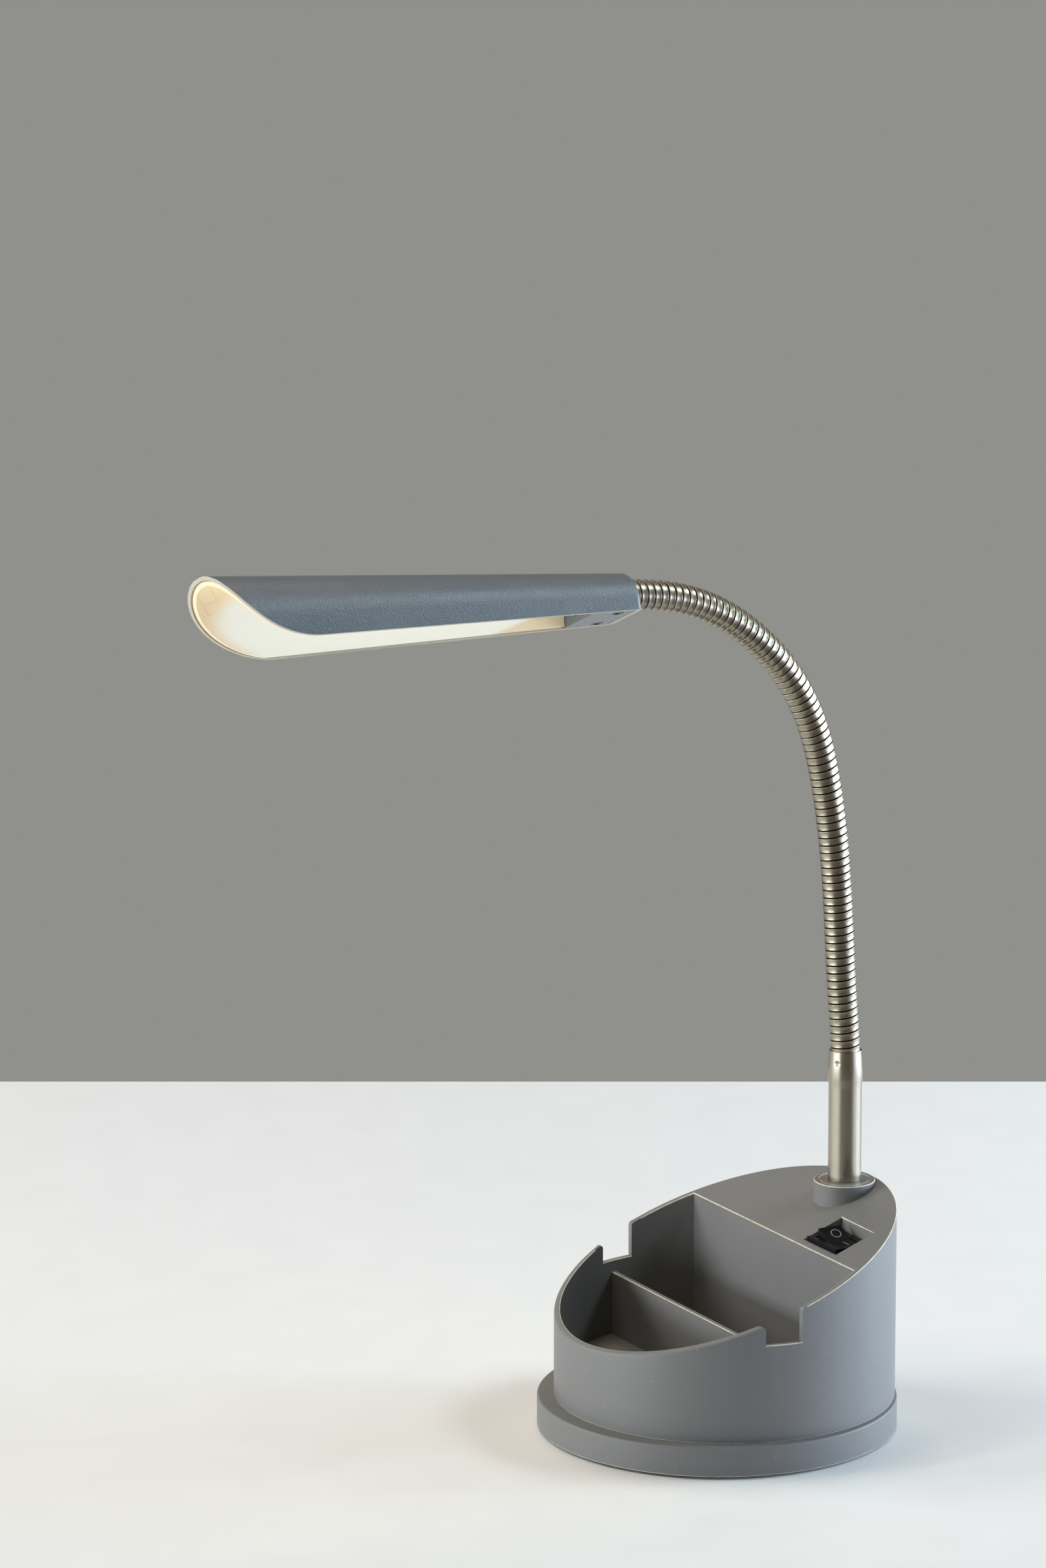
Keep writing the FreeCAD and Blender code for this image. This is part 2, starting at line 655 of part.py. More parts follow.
def makeNut():
    low = sizes.collarBottom - sizes.washerThick - sizes.nutThick
    prism = doc.addObject("Part::Prism", "NutPrism")
    prism.Polygon = 6
    bind(prism, "Circumradius", sizes.nutAcross / 2 / cosine(asSize(30)))
    bind(prism, "Height", sizes.nutThick)
    moveTo(prism, zero, sizes.stemY, low)
    bore = rod("NutBore", zero, sizes.stemY, low - sizes.overrun,
               sizes.shankDia / 2 + sizes.shankPlay / 2, sizes.nutThick + 2 * sizes.overrun)
    return keep(cut("Nut", prism, bore), "stem_nut")


# Switch: a snap-in housing with a bezel, a rocker on two pivots and blade terminals.
bezelTop = sizes.recessFloor + sizes.bezelThick
rockerHalf = sizes.rockerLength / 2
rockerTip = sizes.rockerRise + rockerHalf * tangent(sizes.rockerSlope)
rockerSweep = root(rockerHalf * rockerHalf + rockerTip * rockerTip)
rockerWidth = sizes.switchBodyWidth - 2 * sizes.switchWall - 2 * sizes.rockerPlay
pivotZ = bezelTop - sizes.rockerPivotDrop


def makeSwitchHousing():
    bezel = centredBlock("Bezel", sizes.recessX, sizes.recessY, sizes.recessFloor,
                         sizes.bezelLength, sizes.bezelWidth, sizes.bezelThick)
    low = sizes.recessFloor - sizes.switchBodyDepth
    lower = centredBlock("SwitchBody", sizes.recessX, sizes.recessY, low,
                         sizes.switchBodyLength, sizes.switchBodyWidth, sizes.switchBodyDepth)
    window = centredBlock("RockerWindow", sizes.recessX, sizes.recessY,
                          pivotZ - sizes.rockerDepth - sizes.rockerDepth,
                          sizes.switchBodyLength - 2 * sizes.switchWall,
                          rockerWidth + 2 * sizes.rockerPlay,
                          sizes.rockerDepth + sizes.rockerDepth + sizes.switchBodyDepth)
    opening = centredBlock("BezelWindow", sizes.recessX, sizes.recessY,
                           sizes.recessFloor, 2 * (rockerSweep + sizes.rockerPlay),
                           rockerWidth + 2 * sizes.rockerPlay, sizes.switchBodyDepth)
    pinHole = rod("PivotHole", sizes.recessX,
                  sizes.recessY - rockerWidth / 2 - sizes.pivotReach, pivotZ,
                  sizes.pivotDia / 2 + sizes.pivotPlay,
                  rockerWidth + 2 * sizes.pivotReach, axis=(0, 1, 0))
    blank = fuse("SwitchBlank", [bezel, lower])
    return keep(cut("SwitchHousing", blank, fuse("SwitchCuts", [window, opening, pinHole])),
                "switch_housing")


# The rocker is a shallow vee on top with lips at its ends that pass close to the bezel:
# here its right-hand half is pressed level.
def makeRocker():
    body = newBody("RockerMoulding")
    sketch = newSketch(body, "RockerProfile", "XZ_Plane")
    lipX = rockerHalf + sizes.rockerLip * rockerTip / rockerSweep
    lipZ = rockerTip - sizes.rockerLip * rockerHalf / rockerSweep
    waist = sizes.rockerWaist / 2
    drawPolygon(sketch, [
        (zero, sizes.rockerRise), (-rockerHalf, rockerTip), (-lipX, lipZ),
        (-waist, sizes.rockerRise), (-waist, -sizes.rockerLip),
        (-waist / 2, -sizes.rockerDepth), (waist / 2, -sizes.rockerDepth),
        (waist, -sizes.rockerLip), (waist, sizes.rockerRise),
        (lipX, lipZ), (rockerHalf, rockerTip)])
    pad(body, sketch, "RockerPad", rockerWidth, midplane=True)
    sketch = newSketch(body, "PivotCircle", "XZ_Plane")
    drawCircle(sketch, zero, zero, sizes.pivotDia / 2)
    pad(body, sketch, "PivotPins", rockerWidth + 2 * (sizes.rockerPlay + sizes.pivotReach / 2),
        midplane=True)
    turn = FreeCAD.Rotation(FreeCAD.Vector(0, 1, 0), sizes.rockerSlope.value)
    body.Placement = FreeCAD.Placement(FreeCAD.Vector(0, 0, 0), turn)
    moveTo(body, sizes.recessX, sizes.recessY, pivotZ)
    return keep(body, "rocker")


def makeTerminals():
    low = sizes.recessFloor - sizes.switchBodyDepth
    blades = [centredBlock("Blade%d" % number, sizes.recessX + (number - 0.5) * sizes.bladeStep,
                           sizes.recessY, low - sizes.bladeReach, sizes.bladeThick,
                           sizes.bladeWidth, sizes.bladeReach)
              for number in range(2)]
    return keep(group("SwitchBlades", blades), "switch_terminals")


# Cord gland in the back wall: two flanges and the cord's hole through it.
def makeGland():
    wallOuter = sizes.bodyBack + bodyRadius
    wallInner = sizes.bodyBack + roomRadius
    neck = rod("GlandNeck", zero, wallInner - sizes.glandFlange, sizes.glandZ,
               sizes.glandHoleDia / 2 - sizes.glandGroovePlay,
               wallOuter - wallInner + sizes.glandFlange, axis=(0, 1, 0))
    flange = rod("GlandFlange", zero, wallInner - sizes.glandFlange - sizes.glandGroovePlay,
                 sizes.glandZ, sizes.glandFlangeDia / 2, sizes.glandFlange / 2,
                 axis=(0, 1, 0))
    bore = rod("GlandBore", zero, wallInner - 2 * sizes.glandFlange, sizes.glandZ,
               sizes.glandCordDia / 2, sizes.bodyWall + 4 * sizes.glandFlange,
               axis=(0, 1, 0))
    return keep(cut("Gland", fuse("GlandBlank", [neck, flange]), bore), "cord_gland")


# Driver board on its two posts, with its larger components and screws.
def makeBoard():
    plate = centredBlock("BoardPlate", sizes.boardX, sizes.boardY, boardBase(),
                         sizes.boardLength, sizes.boardWidth, sizes.boardThick)
    holes = [rod("BoardHole%d" % number, x, y, boardBase() - sizes.overrun,
                 sizes.headScrewDia / 2 + sizes.screwPlay,
                 sizes.boardThick + 2 * sizes.overrun)
             for number, (x, y) in enumerate(boardScrewPlaces())]
    return keep(cut("Board", plate, fuse("BoardHoles", holes)), "driver_board")


def makeBoardComponents():
    top = boardBase() + sizes.boardThick
    edge = sizes.boardWidth / 4
    items = [rod("Coil", sizes.boardX, sizes.boardY + edge, top, sizes.coilDia / 2,
                 sizes.coilHeight),
             rod("Capacitor", sizes.boardX - sizes.componentStep, sizes.boardY - edge, top,
                 sizes.capDia / 2, sizes.capHeight),
             centredBlock("DriverChip", sizes.boardX + sizes.componentStep, sizes.boardY - edge,
                          top, sizes.chipLength, sizes.chipWidth, sizes.chipHeight)]
    return keep(group("BoardComponents", items), "board_components")


def makeBoardScrews():
    top = boardBase() + sizes.boardThick
    screws = []
    for number, (x, y) in enumerate(boardScrewPlaces()):
        shank = rod("BoardScrewShank%d" % number, x, y, top - sizes.standoffHeight,
                    sizes.headScrewDia / 2, sizes.standoffHeight)
        head = rod("BoardScrewHead%d" % number, x, y, top, sizes.headScrewHeadDia / 2,
                   sizes.headScrewHead)
        screws.append(fuse("BoardScrew%d" % number, [shank, head]))
    return keep(group("BoardScrews", screws), "board_screws")


# Flexible neck. Each link is a ribbed tube along an arc, with a hollow ball at its upper
# end that seats in the socket of the next link.
def point(y, z):
    return FreeCAD.Vector(0, y, z)


linkLength = turnsPerLink * sizes.turnPitch.value


# A station on a link's arc: where it is and how far it leans.
def station(start, leanA, leanB, along):
    share = along / linkLength
    lean = math.radians(leanA + (leanB - leanA) * share)
    turn = math.radians(leanB - leanA)
    first = math.radians(leanA)
    if abs(turn) < 1e-9:
        y = -math.sin(first) * along
        z = math.cos(first) * along
    else:
        radius = linkLength / turn
        y = radius * (math.cos(lean) - math.cos(first))
        z = radius * (math.sin(lean) - math.sin(first))
    return start + point(y, z), lean


# A regular polygon square to the neck, with its first corner on the steady X axis.
def ring(centre, lean, radius):
    up = FreeCAD.Vector(0, math.cos(lean), math.sin(lean))
    corners = []
    for index in range(hoseSides):
        angle = 2 * math.pi * index / hoseSides
        corners.append(centre + FreeCAD.Vector(radius * math.cos(angle), 0, 0)
                       + up * (radius * math.sin(angle)))
    return Part.makePolygon(corners + corners[:1])


def ruledTube(start, leanA, leanB, profile):
    rings = []
    for along, radius in profile:
        centre, lean = station(start, leanA, leanB, along)
        rings.append(ring(centre, lean, radius))
    return Part.makeLoft(rings, True, True)


polygonShare = math.cos(math.pi / hoseSides)


def linkProfile(first, last):
    outer = sizes.hoseDia.value / 2
    groove = sizes.hoseGrooveDia.value / 2
    pitch = sizes.turnPitch.value
    dip = pitch * sizes.grooveShare.value / 2
    rim = sizes.jointGap.value / 2
    low = 0.0 if first else rim
    high = linkLength if last else linkLength - rim
    profile = [(low, groove), (low + dip, outer)]
    for turn in range(1, turnsPerLink):
        along = turn * pitch
        profile += [(along - dip, outer), (along, groove), (along + dip, outer)]
    profile += [(high - dip, outer), (high, groove)]
    return profile


def makeLink(number, start, leanA, leanB):
    first = number == 0
    last = number == len(leanAngles) - 2
    bore = sizes.hoseBore.value / 2
    ball = sizes.ballDia.value / 2
    spare = sizes.overrun.value
    solid = ruledTube(start, leanA, leanB, linkProfile(first, last))
    if not last:
        # The ball stands on the link's end, centred on the joint.
        top = sizes.ballTop.value
        foot = -sizes.jointGap.value
        steps = [foot, foot / 2, 0.0, top / 2, top]
        shape = [(linkLength + step, math.sqrt(ball ** 2 - step ** 2)) for step in steps]
        solid = solid.fuse(ruledTube(start, leanA, leanB, shape))
    high = linkLength + (spare if last else sizes.ballTop.value + spare)
    solid = solid.cut(ruledTube(start, leanA, leanB, [(-spare, bore), (linkLength / 2, bore),
                                                      (high, bore)]))
    if not first:
        # The socket is a little larger than the ball, and clears its corners.
        reach = (ball + sizes.ballPlay.value) / polygonShare / polygonShare
        deep = sizes.socketTop.value
        steps = [-sizes.jointGap.value, 0.0, deep / 3, 2 * deep / 3, deep]
        shape = [(step, math.sqrt(reach ** 2 - max(step, 0.0) ** 2)) for step in steps]
        solid = solid.cut(ruledTube(start, leanA, leanB, shape))
    link = doc.addObject("Part::Feature", "HoseLink%02d" % (number + 1))
    link.Shape = solid
    return keep(link, "hose_link_%02d" % (number + 1))


def makeNeck():
    start = point(sizes.stemY.value, sizes.hoseStart.value)
    for number in range(len(leanAngles) - 1):
        leanA, leanB = leanAngles[number], leanAngles[number + 1]
        makeLink(number, start, leanA, leanB)
        start, lean = station(start, leanA, leanB, linkLength)
        print("joint %d at y %.3f z %.3f lean %.2f" % (number + 1, start.y, start.z, leanB))
    return start, math.radians(leanAngles[-1])


# Lamp head, drawn in its own frame: Z runs from the rear to the tip, Y points away from
# the light opening, and the origin is where the neck's axis meets the rear face.
def headPlacement(neckEnd, lean):
    axis = FreeCAD.Vector(0, -math.sin(lean), math.cos(lean))
    rear = neckEnd - axis * sizes.hoseInHead.value
    upright = FreeCAD.Vector(0, math.cos(lean), math.sin(lean))
    sideways = FreeCAD.Vector(1, 0, 0)
    roll = math.radians(sizes.headRoll.value)
    local = upright * math.cos(roll) - sideways * math.sin(roll)
    across = local.cross(axis)
    matrix = FreeCAD.Matrix(
        across.x, local.x, axis.x, rear.x, across.y, local.y, axis.y, rear.y,
        across.z, local.z, axis.z, rear.z, 0, 0, 0, 1)
    return FreeCAD.Placement(matrix)


def radiusAt(along):
    return sizes.rearRadius + (sizes.tipRadius - sizes.rearRadius) * along / sizes.headLength


def sideAt(along):
    return sizes.rearSide + (sizes.tipSide - sizes.rearSide) * along / sizes.headLength


def hemAt(along):
    return sizes.crestRise - radiusAt(along) - sideAt(along)


# A sketch that stands by itself, level at a place along Z or upright in the plane x = 0.
def looseSketch(name, along=None):
    sketch = doc.addObject("Sketcher::SketchObject", name)
    if along is not None:
        bind(sketch, "Placement.Base.z", along)
    else:
        sketch.Placement.Rotation = FreeCAD.Rotation(FreeCAD.Vector(1, 1, 1), 120)
    return sketch


def ruledLoft(name, sections):
    result = doc.addObject("Part::Loft", name)
    result.Sections = sections
    result.Solid = True
    result.Ruled = True
    return result


# A trough section: a half circle on straight sides that end at the height called hem.
def drawTrough(name, along, inset, crestDrop, hem):
    sketch = looseSketch(name, along)
    radius = radiusAt(along) - inset
    centre = sizes.crestRise - radiusAt(along) - crestDrop
    arc = drawArc(sketch, centre, radius, 0.0, math.pi)
    corners = [(-radius, centre), (-radius, hem), (radius, hem), (radius, centre)]
    lines = [sketch.addGeometry(Part.LineSegment(flat(*corners[index]),
                                                 flat(*corners[index + 1])))
             for index in range(3)]
    loop = [arc] + lines
    for index, edge in enumerate(loop):
        sketch.addConstraint(Sketcher.Constraint(
            "Coincident", edge, 2, loop[(index + 1) % 4], 1))
    pinPoint(sketch, lines[0], 1, None, centre)
    pinPoint(sketch, lines[2], 2, None, centre)
    pinPoint(sketch, lines[1], 1, None, hem)
    sketch.addConstraint(Sketcher.Constraint("Vertical", lines[0]))
    sketch.addConstraint(Sketcher.Constraint("Vertical", lines[2]))
    sketch.addConstraint(Sketcher.Constraint("Horizontal", lines[1]))
    return sketch


# The nose is cut off along an arc that starts at the crest and runs into the lower edge.
def noseCutter(name, lift):
    sketch = looseSketch(name + "Profile")
    apexS = sizes.headLength - lift
    apexW = sizes.crestRise
    endS = sizes.headLength - sizes.noseReach - lift
    endW = hemAt(endS)
    fall = (hemAt(sizes.headLength) - hemAt(zero)) / sizes.headLength
    scale = root(1 + fall * fall)
    along = ((apexS - endS) + (apexW - endW) * fall) / scale
    above = ((apexW - endW) - (apexS - endS) * fall) / scale
    radius = (along * along + above * above) / (2 * above)
    centreW = endW.value + radius.value / scale.value
    centreS = endS.value - radius.value * fall.value / scale.value
    startAngle = math.atan2(endS.value - centreS, endW.value - centreW)
    endAngle = math.atan2(apexS.value - centreS, apexW.value - centreW)
    if startAngle < endAngle:
        startAngle += 2 * math.pi
    circle = Part.Circle(flat(centreW, centreS), FreeCAD.Vector(0, 0, 1), radius.value)
    arc = sketch.addGeometry(Part.ArcOfCircle(circle, endAngle, startAngle))
    outW = apexW + sizes.overrun
    outS = sizes.headLength + sizes.overrun
    lowW = hemAt(sizes.headLength) - sizes.overrun
    corners = [(endW, endS), (lowW, endS), (lowW, outS), (outW, outS), (outW, apexS),
               (apexW, apexS)]
    lines = [sketch.addGeometry(Part.LineSegment(flat(*corners[index]),
                                                 flat(*corners[index + 1])))
             for index in range(5)]
    for index in range(4):
        sketch.addConstraint(Sketcher.Constraint(
            "Coincident", lines[index], 2, lines[index + 1], 1))
    sketch.addConstraint(Sketcher.Constraint("Coincident", lines[4], 2, arc, 1))
    sketch.addConstraint(Sketcher.Constraint("Coincident", arc, 2, lines[0], 1))
    for line, corner in zip(lines, corners):
        pinPoint(sketch, line, 1, *corner)
    pinPoint(sketch, lines[4], 2, *corners[5])
    addRule(sketch, radius, "Radius", arc)
    cutter = doc.addObject("Part::Extrusion", name)
    cutter.Base = sketch
    cutter.DirMode = "Normal"
    cutter.Solid = True
    cutter.Symmetric = True
    bind(cutter, "LengthFwd", 4 * sizes.tipRadius)
    return cutter


def clampMiddle():
    return sizes.clampStart + sizes.clampLength / 2


def headScrewBite():
    return sizes.headScrewDia


# Rods square to the light opening, at the two screws of the head.
def headScrewRods(name, low, radius, height):
    return [rod(name + str(number), side * sizes.headScrewAcross, low, clampMiddle(),
                radius, height, axis=(0, 1, 0))
            for number, side in enumerate((-1, 1))]


def makeHeadShell(place):
    tip = sizes.headLength
    low = hemAt(tip) - sizes.overrun
    blank = ruledLoft("ShellBlank", [drawTrough("ShellRear", zero, zero, zero, hemAt(zero)),
                                     drawTrough("ShellTip", tip, zero, zero, hemAt(tip))])
    doc.recompute()
    rounded = doc.addObject("Part::Fillet", "ShellRounded")
    rounded.Base = blank
    radius = sizes.headRound.value
    rounded.Edges = [(number, radius, radius)
                     for number, edge in enumerate(blank.Shape.Edges, start=1)
                     if abs(edge.BoundBox.ZMax) < 1e-6
                     and edge.BoundBox.YMax > hemAt(zero).value + 1e-3]
    past = tip + sizes.overrun
    hollow = ruledLoft("ShellHollow", [
        drawTrough("HollowRear", sizes.headEndWall, sizes.headWall, zero, low),
        drawTrough("HollowTip", past, sizes.headWall, zero, low)])
    neckHole = rod("NeckHole", zero, zero, -sizes.overrun,
                   sizes.hoseDia / 2 + sizes.headHolePlay,
                   sizes.headEndWall + 2 * sizes.overrun)
    cutters = fuse("ShellCutters", [hollow, neckHole, noseCutter("NoseCutter", zero)])
    opened = cut("ShellOpened", rounded, cutters)

    # Two bosses beside the neck take the screws of the clamp and the rear cover.
    columns = [block("HeadBoss%d" % number,
                     side * sizes.headScrewAcross - sizes.headBossWidth / 2, sizes.clampTop,
                     sizes.clampStart, sizes.headBossWidth, sizes.crestRise,
                     sizes.clampLength)
               for number, side in enumerate((-1, 1))]
    outline = ruledLoft("ShellOutline", [
        drawTrough("OutlineRear", zero, sizes.headWall / 2, zero, low),
        drawTrough("OutlineTip", tip, sizes.headWall / 2, zero, low)])
    bed = rod("NeckRoom", zero, zero, zero, sizes.hoseDia / 2 + sizes.headHolePlay, tip)
    bosses = cut("BossesInShell", common("BossesTrimmed", [fuse("HeadBosses", columns),
                                                           outline]), bed)
    pilots = headScrewRods("HeadPilot", sizes.clampTop - sizes.overrun,
                           sizes.headScrewDia / 2, headScrewBite() + sizes.overrun)
    shell = cut("HeadShell", fuse("ShellWithBosses", [opened, bosses]),
                fuse("HeadPilots", pilots))
    shell.Placement = place
    return keep(shell, "head_shell")


# The diffuser lines the shell like a bright trough. Its crest leaves room for the LEDs.
def makeDiffuser(place):
    inset = sizes.headWall + sizes.linerGap
    start = sizes.coverEnd + sizes.linerGap
    tip = sizes.headLength

    def hem(along):
        return hemAt(along) + sizes.linerLift

    blank = ruledLoft("LinerBlank", [drawTrough("LinerRear", start, inset, zero, hem(start)),
                                     drawTrough("LinerTip", tip, inset, zero, hem(tip))])
    wall = inset + sizes.linerWall
    low = hemAt(tip) - sizes.overrun
    turn = tip - sizes.linerNose
    drop = sizes.linerCrest - sizes.linerWall
    past = tip + sizes.overrun
    room = ruledLoft("LightRoom", [
        drawTrough("LightRear", start - sizes.overrun, wall, drop, low),
        drawTrough("LightTurn", turn, wall, drop, low),
        drawTrough("LightTip", past, wall, zero, low)])
    ledTop = sizes.crestRise - sizes.ledTopDrop
    shelf = ledTop - sizes.ledThick
    seat = block("LedSeat", -(sizes.ledWidth / 2 + sizes.linerGap), shelf,
                 sizes.ledStart - sizes.linerGap, sizes.ledWidth + 2 * sizes.linerGap,
                 sizes.crestRise, sizes.ledLength + 2 * sizes.linerGap)
    channelWidth = sizes.chipSide + 2 * sizes.linerGap
    channel = block("LedChannel", -(channelWidth / 2),
                    shelf - sizes.chipRise - sizes.chipPlay,
                    sizes.ledStart - sizes.linerGap, channelWidth, sizes.crestRise,
                    sizes.ledLength + 2 * sizes.linerGap)
    cutters = fuse("LinerCutters", [room, seat, channel,
                                    noseCutter("LinerNose", sizes.linerLift)])
    liner = cut("Diffuser", blank, cutters)
    liner.Placement = place
    return keep(liner, "diffuser")


def makeLedBoard(place):
    shelf = sizes.crestRise - sizes.ledTopDrop - sizes.ledThick
    board = block("LedStrip", -(sizes.ledWidth / 2), shelf, sizes.ledStart, sizes.ledWidth,
                  sizes.ledThick, sizes.ledLength)
    board = group("LedBoard", [board])
    board.Placement = place
    return keep(board, "led_board")


def makeLedChips(place):
    shelf = sizes.crestRise - sizes.ledTopDrop - sizes.ledThick
    step = sizes.ledLength / ledCount
    chips = [block("Led%02d" % number, -(sizes.chipSide / 2), shelf - sizes.chipRise,
                   sizes.ledStart + step * (number + 0.5) - sizes.chipSide / 2,
                   sizes.chipSide, sizes.chipRise, sizes.chipSide)
             for number in range(ledCount)]
    chips = group("LedChips", chips)
    chips.Placement = place
    return keep(chips, "led_chips")


# Cover that closes the underside of the head behind the light opening.
def makeHeadCover(place):
    start = sizes.headEndWall + sizes.linerGap
    inset = sizes.headWall + sizes.linerGap
    blank = ruledLoft("CoverBlank", [
        drawTrough("CoverRear", start, inset, zero, hemAt(start)),
        drawTrough("CoverFront", sizes.coverEnd, inset, zero, hemAt(sizes.coverEnd))])
    end = sizes.coverEnd - sizes.headCoverThick
    room = block("CoverRoom", -sizes.tipRadius, sizes.clampBottom, -sizes.overrun,
                 2 * sizes.tipRadius, 2 * sizes.tipRadius, end + sizes.overrun)
    wireSlot = centredBlock("WireSlot", zero, zero, end - sizes.overrun, sizes.hoseBore,
                            sizes.crestRise * 2, sizes.headCoverThick + 2 * sizes.overrun)
    holes = headScrewRods("CoverHoles", hemAt(zero) - sizes.overrun,
                          sizes.headScrewDia / 2 + sizes.screwPlay, sizes.tipRadius)
    pockets = headScrewRods("CoverPockets", headSeat() - sizes.tipRadius,
                            sizes.headScrewHeadDia / 2 + sizes.screwPlay, sizes.tipRadius)
    cover = cut("RearCover", blank,
                fuse("RearCoverCuts", [room, wireSlot] + holes + pockets))
    cover.Placement = place
    return keep(cover, "rear_cover")


# The screw heads sit half way up the cover's plate.
def headSeat():
    return hemAt(zero) + sizes.headScrewHead


# Cradle that presses the end of the neck up into the shell.
def makeClamp(place):
    inset = sizes.headWall + sizes.linerGap
    end = sizes.clampStart + sizes.clampLength
    blank = ruledLoft("ClampBlank", [
        drawTrough("ClampRear", sizes.clampStart, inset, zero, sizes.clampBottom),
        drawTrough("ClampFront", end, inset, zero, sizes.clampBottom)])
    upper = block("AboveClamp", -sizes.tipRadius, sizes.clampTop, zero,
                  2 * sizes.tipRadius, 2 * sizes.tipRadius, sizes.headLength)
    bed = rod("NeckBed", zero, zero, zero, sizes.hoseDia / 2 + sizes.headHolePlay / 2,
              sizes.headLength)
    holes = headScrewRods("ClampHoles", sizes.clampBottom - sizes.overrun,
                          sizes.headScrewDia / 2 + sizes.screwPlay, sizes.tipRadius)
    clamp = cut("NeckClamp", blank, fuse("ClampCuts", [upper, bed] + holes))
    clamp.Placement = place
    return keep(clamp, "neck_clamp")


def makeHeadScrews(place):
    length = sizes.clampTop + headScrewBite() - headSeat()
    shanks = headScrewRods("HeadScrewShank", headSeat(), sizes.headScrewDia / 2, length)
    heads = headScrewRods("HeadScrewHead", headSeat() - sizes.headScrewHead,
                          sizes.headScrewHeadDia / 2, sizes.headScrewHead)
    screws = [fuse("HeadScrew%d" % number, list(pair))
              for number, pair in enumerate(zip(shanks, heads))]
    screws = group("HeadScrews", screws)
    screws.Placement = place
    return keep(screws, "head_screws")


makeOrganiserBody()
makeFoot()
makeCounterweight()
makeBottomCover()
makeMat()
makeBaseScrews()
makeStem()
makeBush()
makeWasher()
makeNut()
makeSwitchHousing()
makeRocker()
makeTerminals()
makeGland()
makeBoard()
makeBoardComponents()
makeBoardScrews()
neckEnd, neckLean = makeNeck()
place = headPlacement(neckEnd, neckLean)
makeHeadShell(place)
makeDiffuser(place)
makeLedBoard(place)
makeLedChips(place)
makeHeadCover(place)
makeClamp(place)
makeHeadScrews(place)
doc.recompute()

# Nothing is written unless every object is sound.
for item in doc.Objects:
    if "Invalid" in item.State or "Error" in item.State:
        raise RuntimeError("%s failed: %s" % (item.Label, item.State))
for node in nodes:
    if node.Shape.isNull() or not node.Shape.isValid() or not node.Shape.Solids:
        raise RuntimeError("%s has no sound shape" % node.Label)
for node in nodes:
    node.Shape.exportStep("parts/%s.step" % node.Label)
    box = node.Shape.BoundBox
    print("%-18s %2d solids %9.1f mm3  x %7.2f %7.2f  y %7.2f %7.2f  z %7.2f %7.2f" % (
        node.Label, len(node.Shape.Solids), node.Shape.Volume, box.XMin, box.XMax,
        box.YMin, box.YMax, box.ZMin, box.ZMax))
print("%d nodes" % len(nodes))
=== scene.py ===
import bpy
import bmesh
import math
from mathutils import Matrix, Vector
from mathutils.kdtree import KDTree


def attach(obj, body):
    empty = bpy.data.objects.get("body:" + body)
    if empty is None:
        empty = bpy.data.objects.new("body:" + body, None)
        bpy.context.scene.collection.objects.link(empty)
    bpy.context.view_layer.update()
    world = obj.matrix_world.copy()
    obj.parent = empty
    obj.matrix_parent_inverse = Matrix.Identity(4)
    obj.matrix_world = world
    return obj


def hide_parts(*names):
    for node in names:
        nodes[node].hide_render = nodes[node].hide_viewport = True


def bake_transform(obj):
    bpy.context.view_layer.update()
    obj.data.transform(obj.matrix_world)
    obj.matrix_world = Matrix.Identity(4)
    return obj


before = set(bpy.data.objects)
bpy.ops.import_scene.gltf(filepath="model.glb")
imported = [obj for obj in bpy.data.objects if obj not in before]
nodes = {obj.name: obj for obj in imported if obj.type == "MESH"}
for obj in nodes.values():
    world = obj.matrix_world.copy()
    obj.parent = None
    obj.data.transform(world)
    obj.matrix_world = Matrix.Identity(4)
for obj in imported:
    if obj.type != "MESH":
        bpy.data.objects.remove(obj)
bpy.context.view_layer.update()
mm = 0.001

camera = {
    "place": (2.48480, -1.48161, 0.94229),   # metres, in the lamp's frame
    "yaw": 60.687,                           # degrees, anticlockwise from +Y
    "pitch": 13.358,                         # degrees down
    "lens": 178.775,                         # mm, on a 36 mm sensor
    "near": 0.05,
    "far": 30,
}


def makeCamera(c):
    data = bpy.data.cameras.new("camera")
    data.lens = c["lens"]
    data.clip_start = c["near"]
    data.clip_end = c["far"]
    eye = bpy.data.objects.new("camera", data)
    bpy.context.scene.collection.objects.link(eye)
    eye.location = c["place"]
    eye.rotation_euler = (math.radians(90 - c["pitch"]), 0, math.radians(c["yaw"]))
    bpy.context.scene.camera = eye


makeCamera(camera)
bpy.context.scene.view_settings.view_transform = "Standard"
print("camera placed")


def join(tree, socket, value):
    if isinstance(value, bpy.types.NodeSocket):
        tree.links.new(value, socket)
    else:
        socket.default_value = value


def place(tree, kind, inputs=None, **settings):
    node = tree.nodes.new(kind)
    for key, value in settings.items():
        setattr(node, key, value)
    for key, value in (inputs or {}).items():
        join(tree, node.inputs[key], value)
    return node


def calc(tree, operation, *values, clamp=False):
    node = place(tree, "ShaderNodeMath", operation=operation, use_clamp=clamp)
    for socket, value in zip(node.inputs, values):
        join(tree, socket, value)
    return node.outputs[0]


def plus(tree, first, second):
    return calc(tree, "ADD", first, second)


def minus(tree, first, second):
    return calc(tree, "SUBTRACT", first, second)


def times(tree, first, second):
    return calc(tree, "MULTIPLY", first, second)


def varied(tree, pattern, amount, middle, clamp=False):
    # middle, plus or minus half of amount as the pattern goes from 0 to 1
    return calc(tree, "MULTIPLY_ADD", minus(tree, pattern, 0.5), amount, middle, clamp=clamp)


def vectorCalc(tree, operation, *values):
    node = place(tree, "ShaderNodeVectorMath", operation=operation)
    for socket, value in zip(node.inputs, values):
        join(tree, socket, value)
    return node.outputs["Value" if operation in ("DOT_PRODUCT", "DISTANCE") else "Vector"]


def scaled(tree, vector, amount):
    inputs = {0: vector, "Scale": amount}
    return place(tree, "ShaderNodeVectorMath", inputs, operation="SCALE").outputs["Vector"]


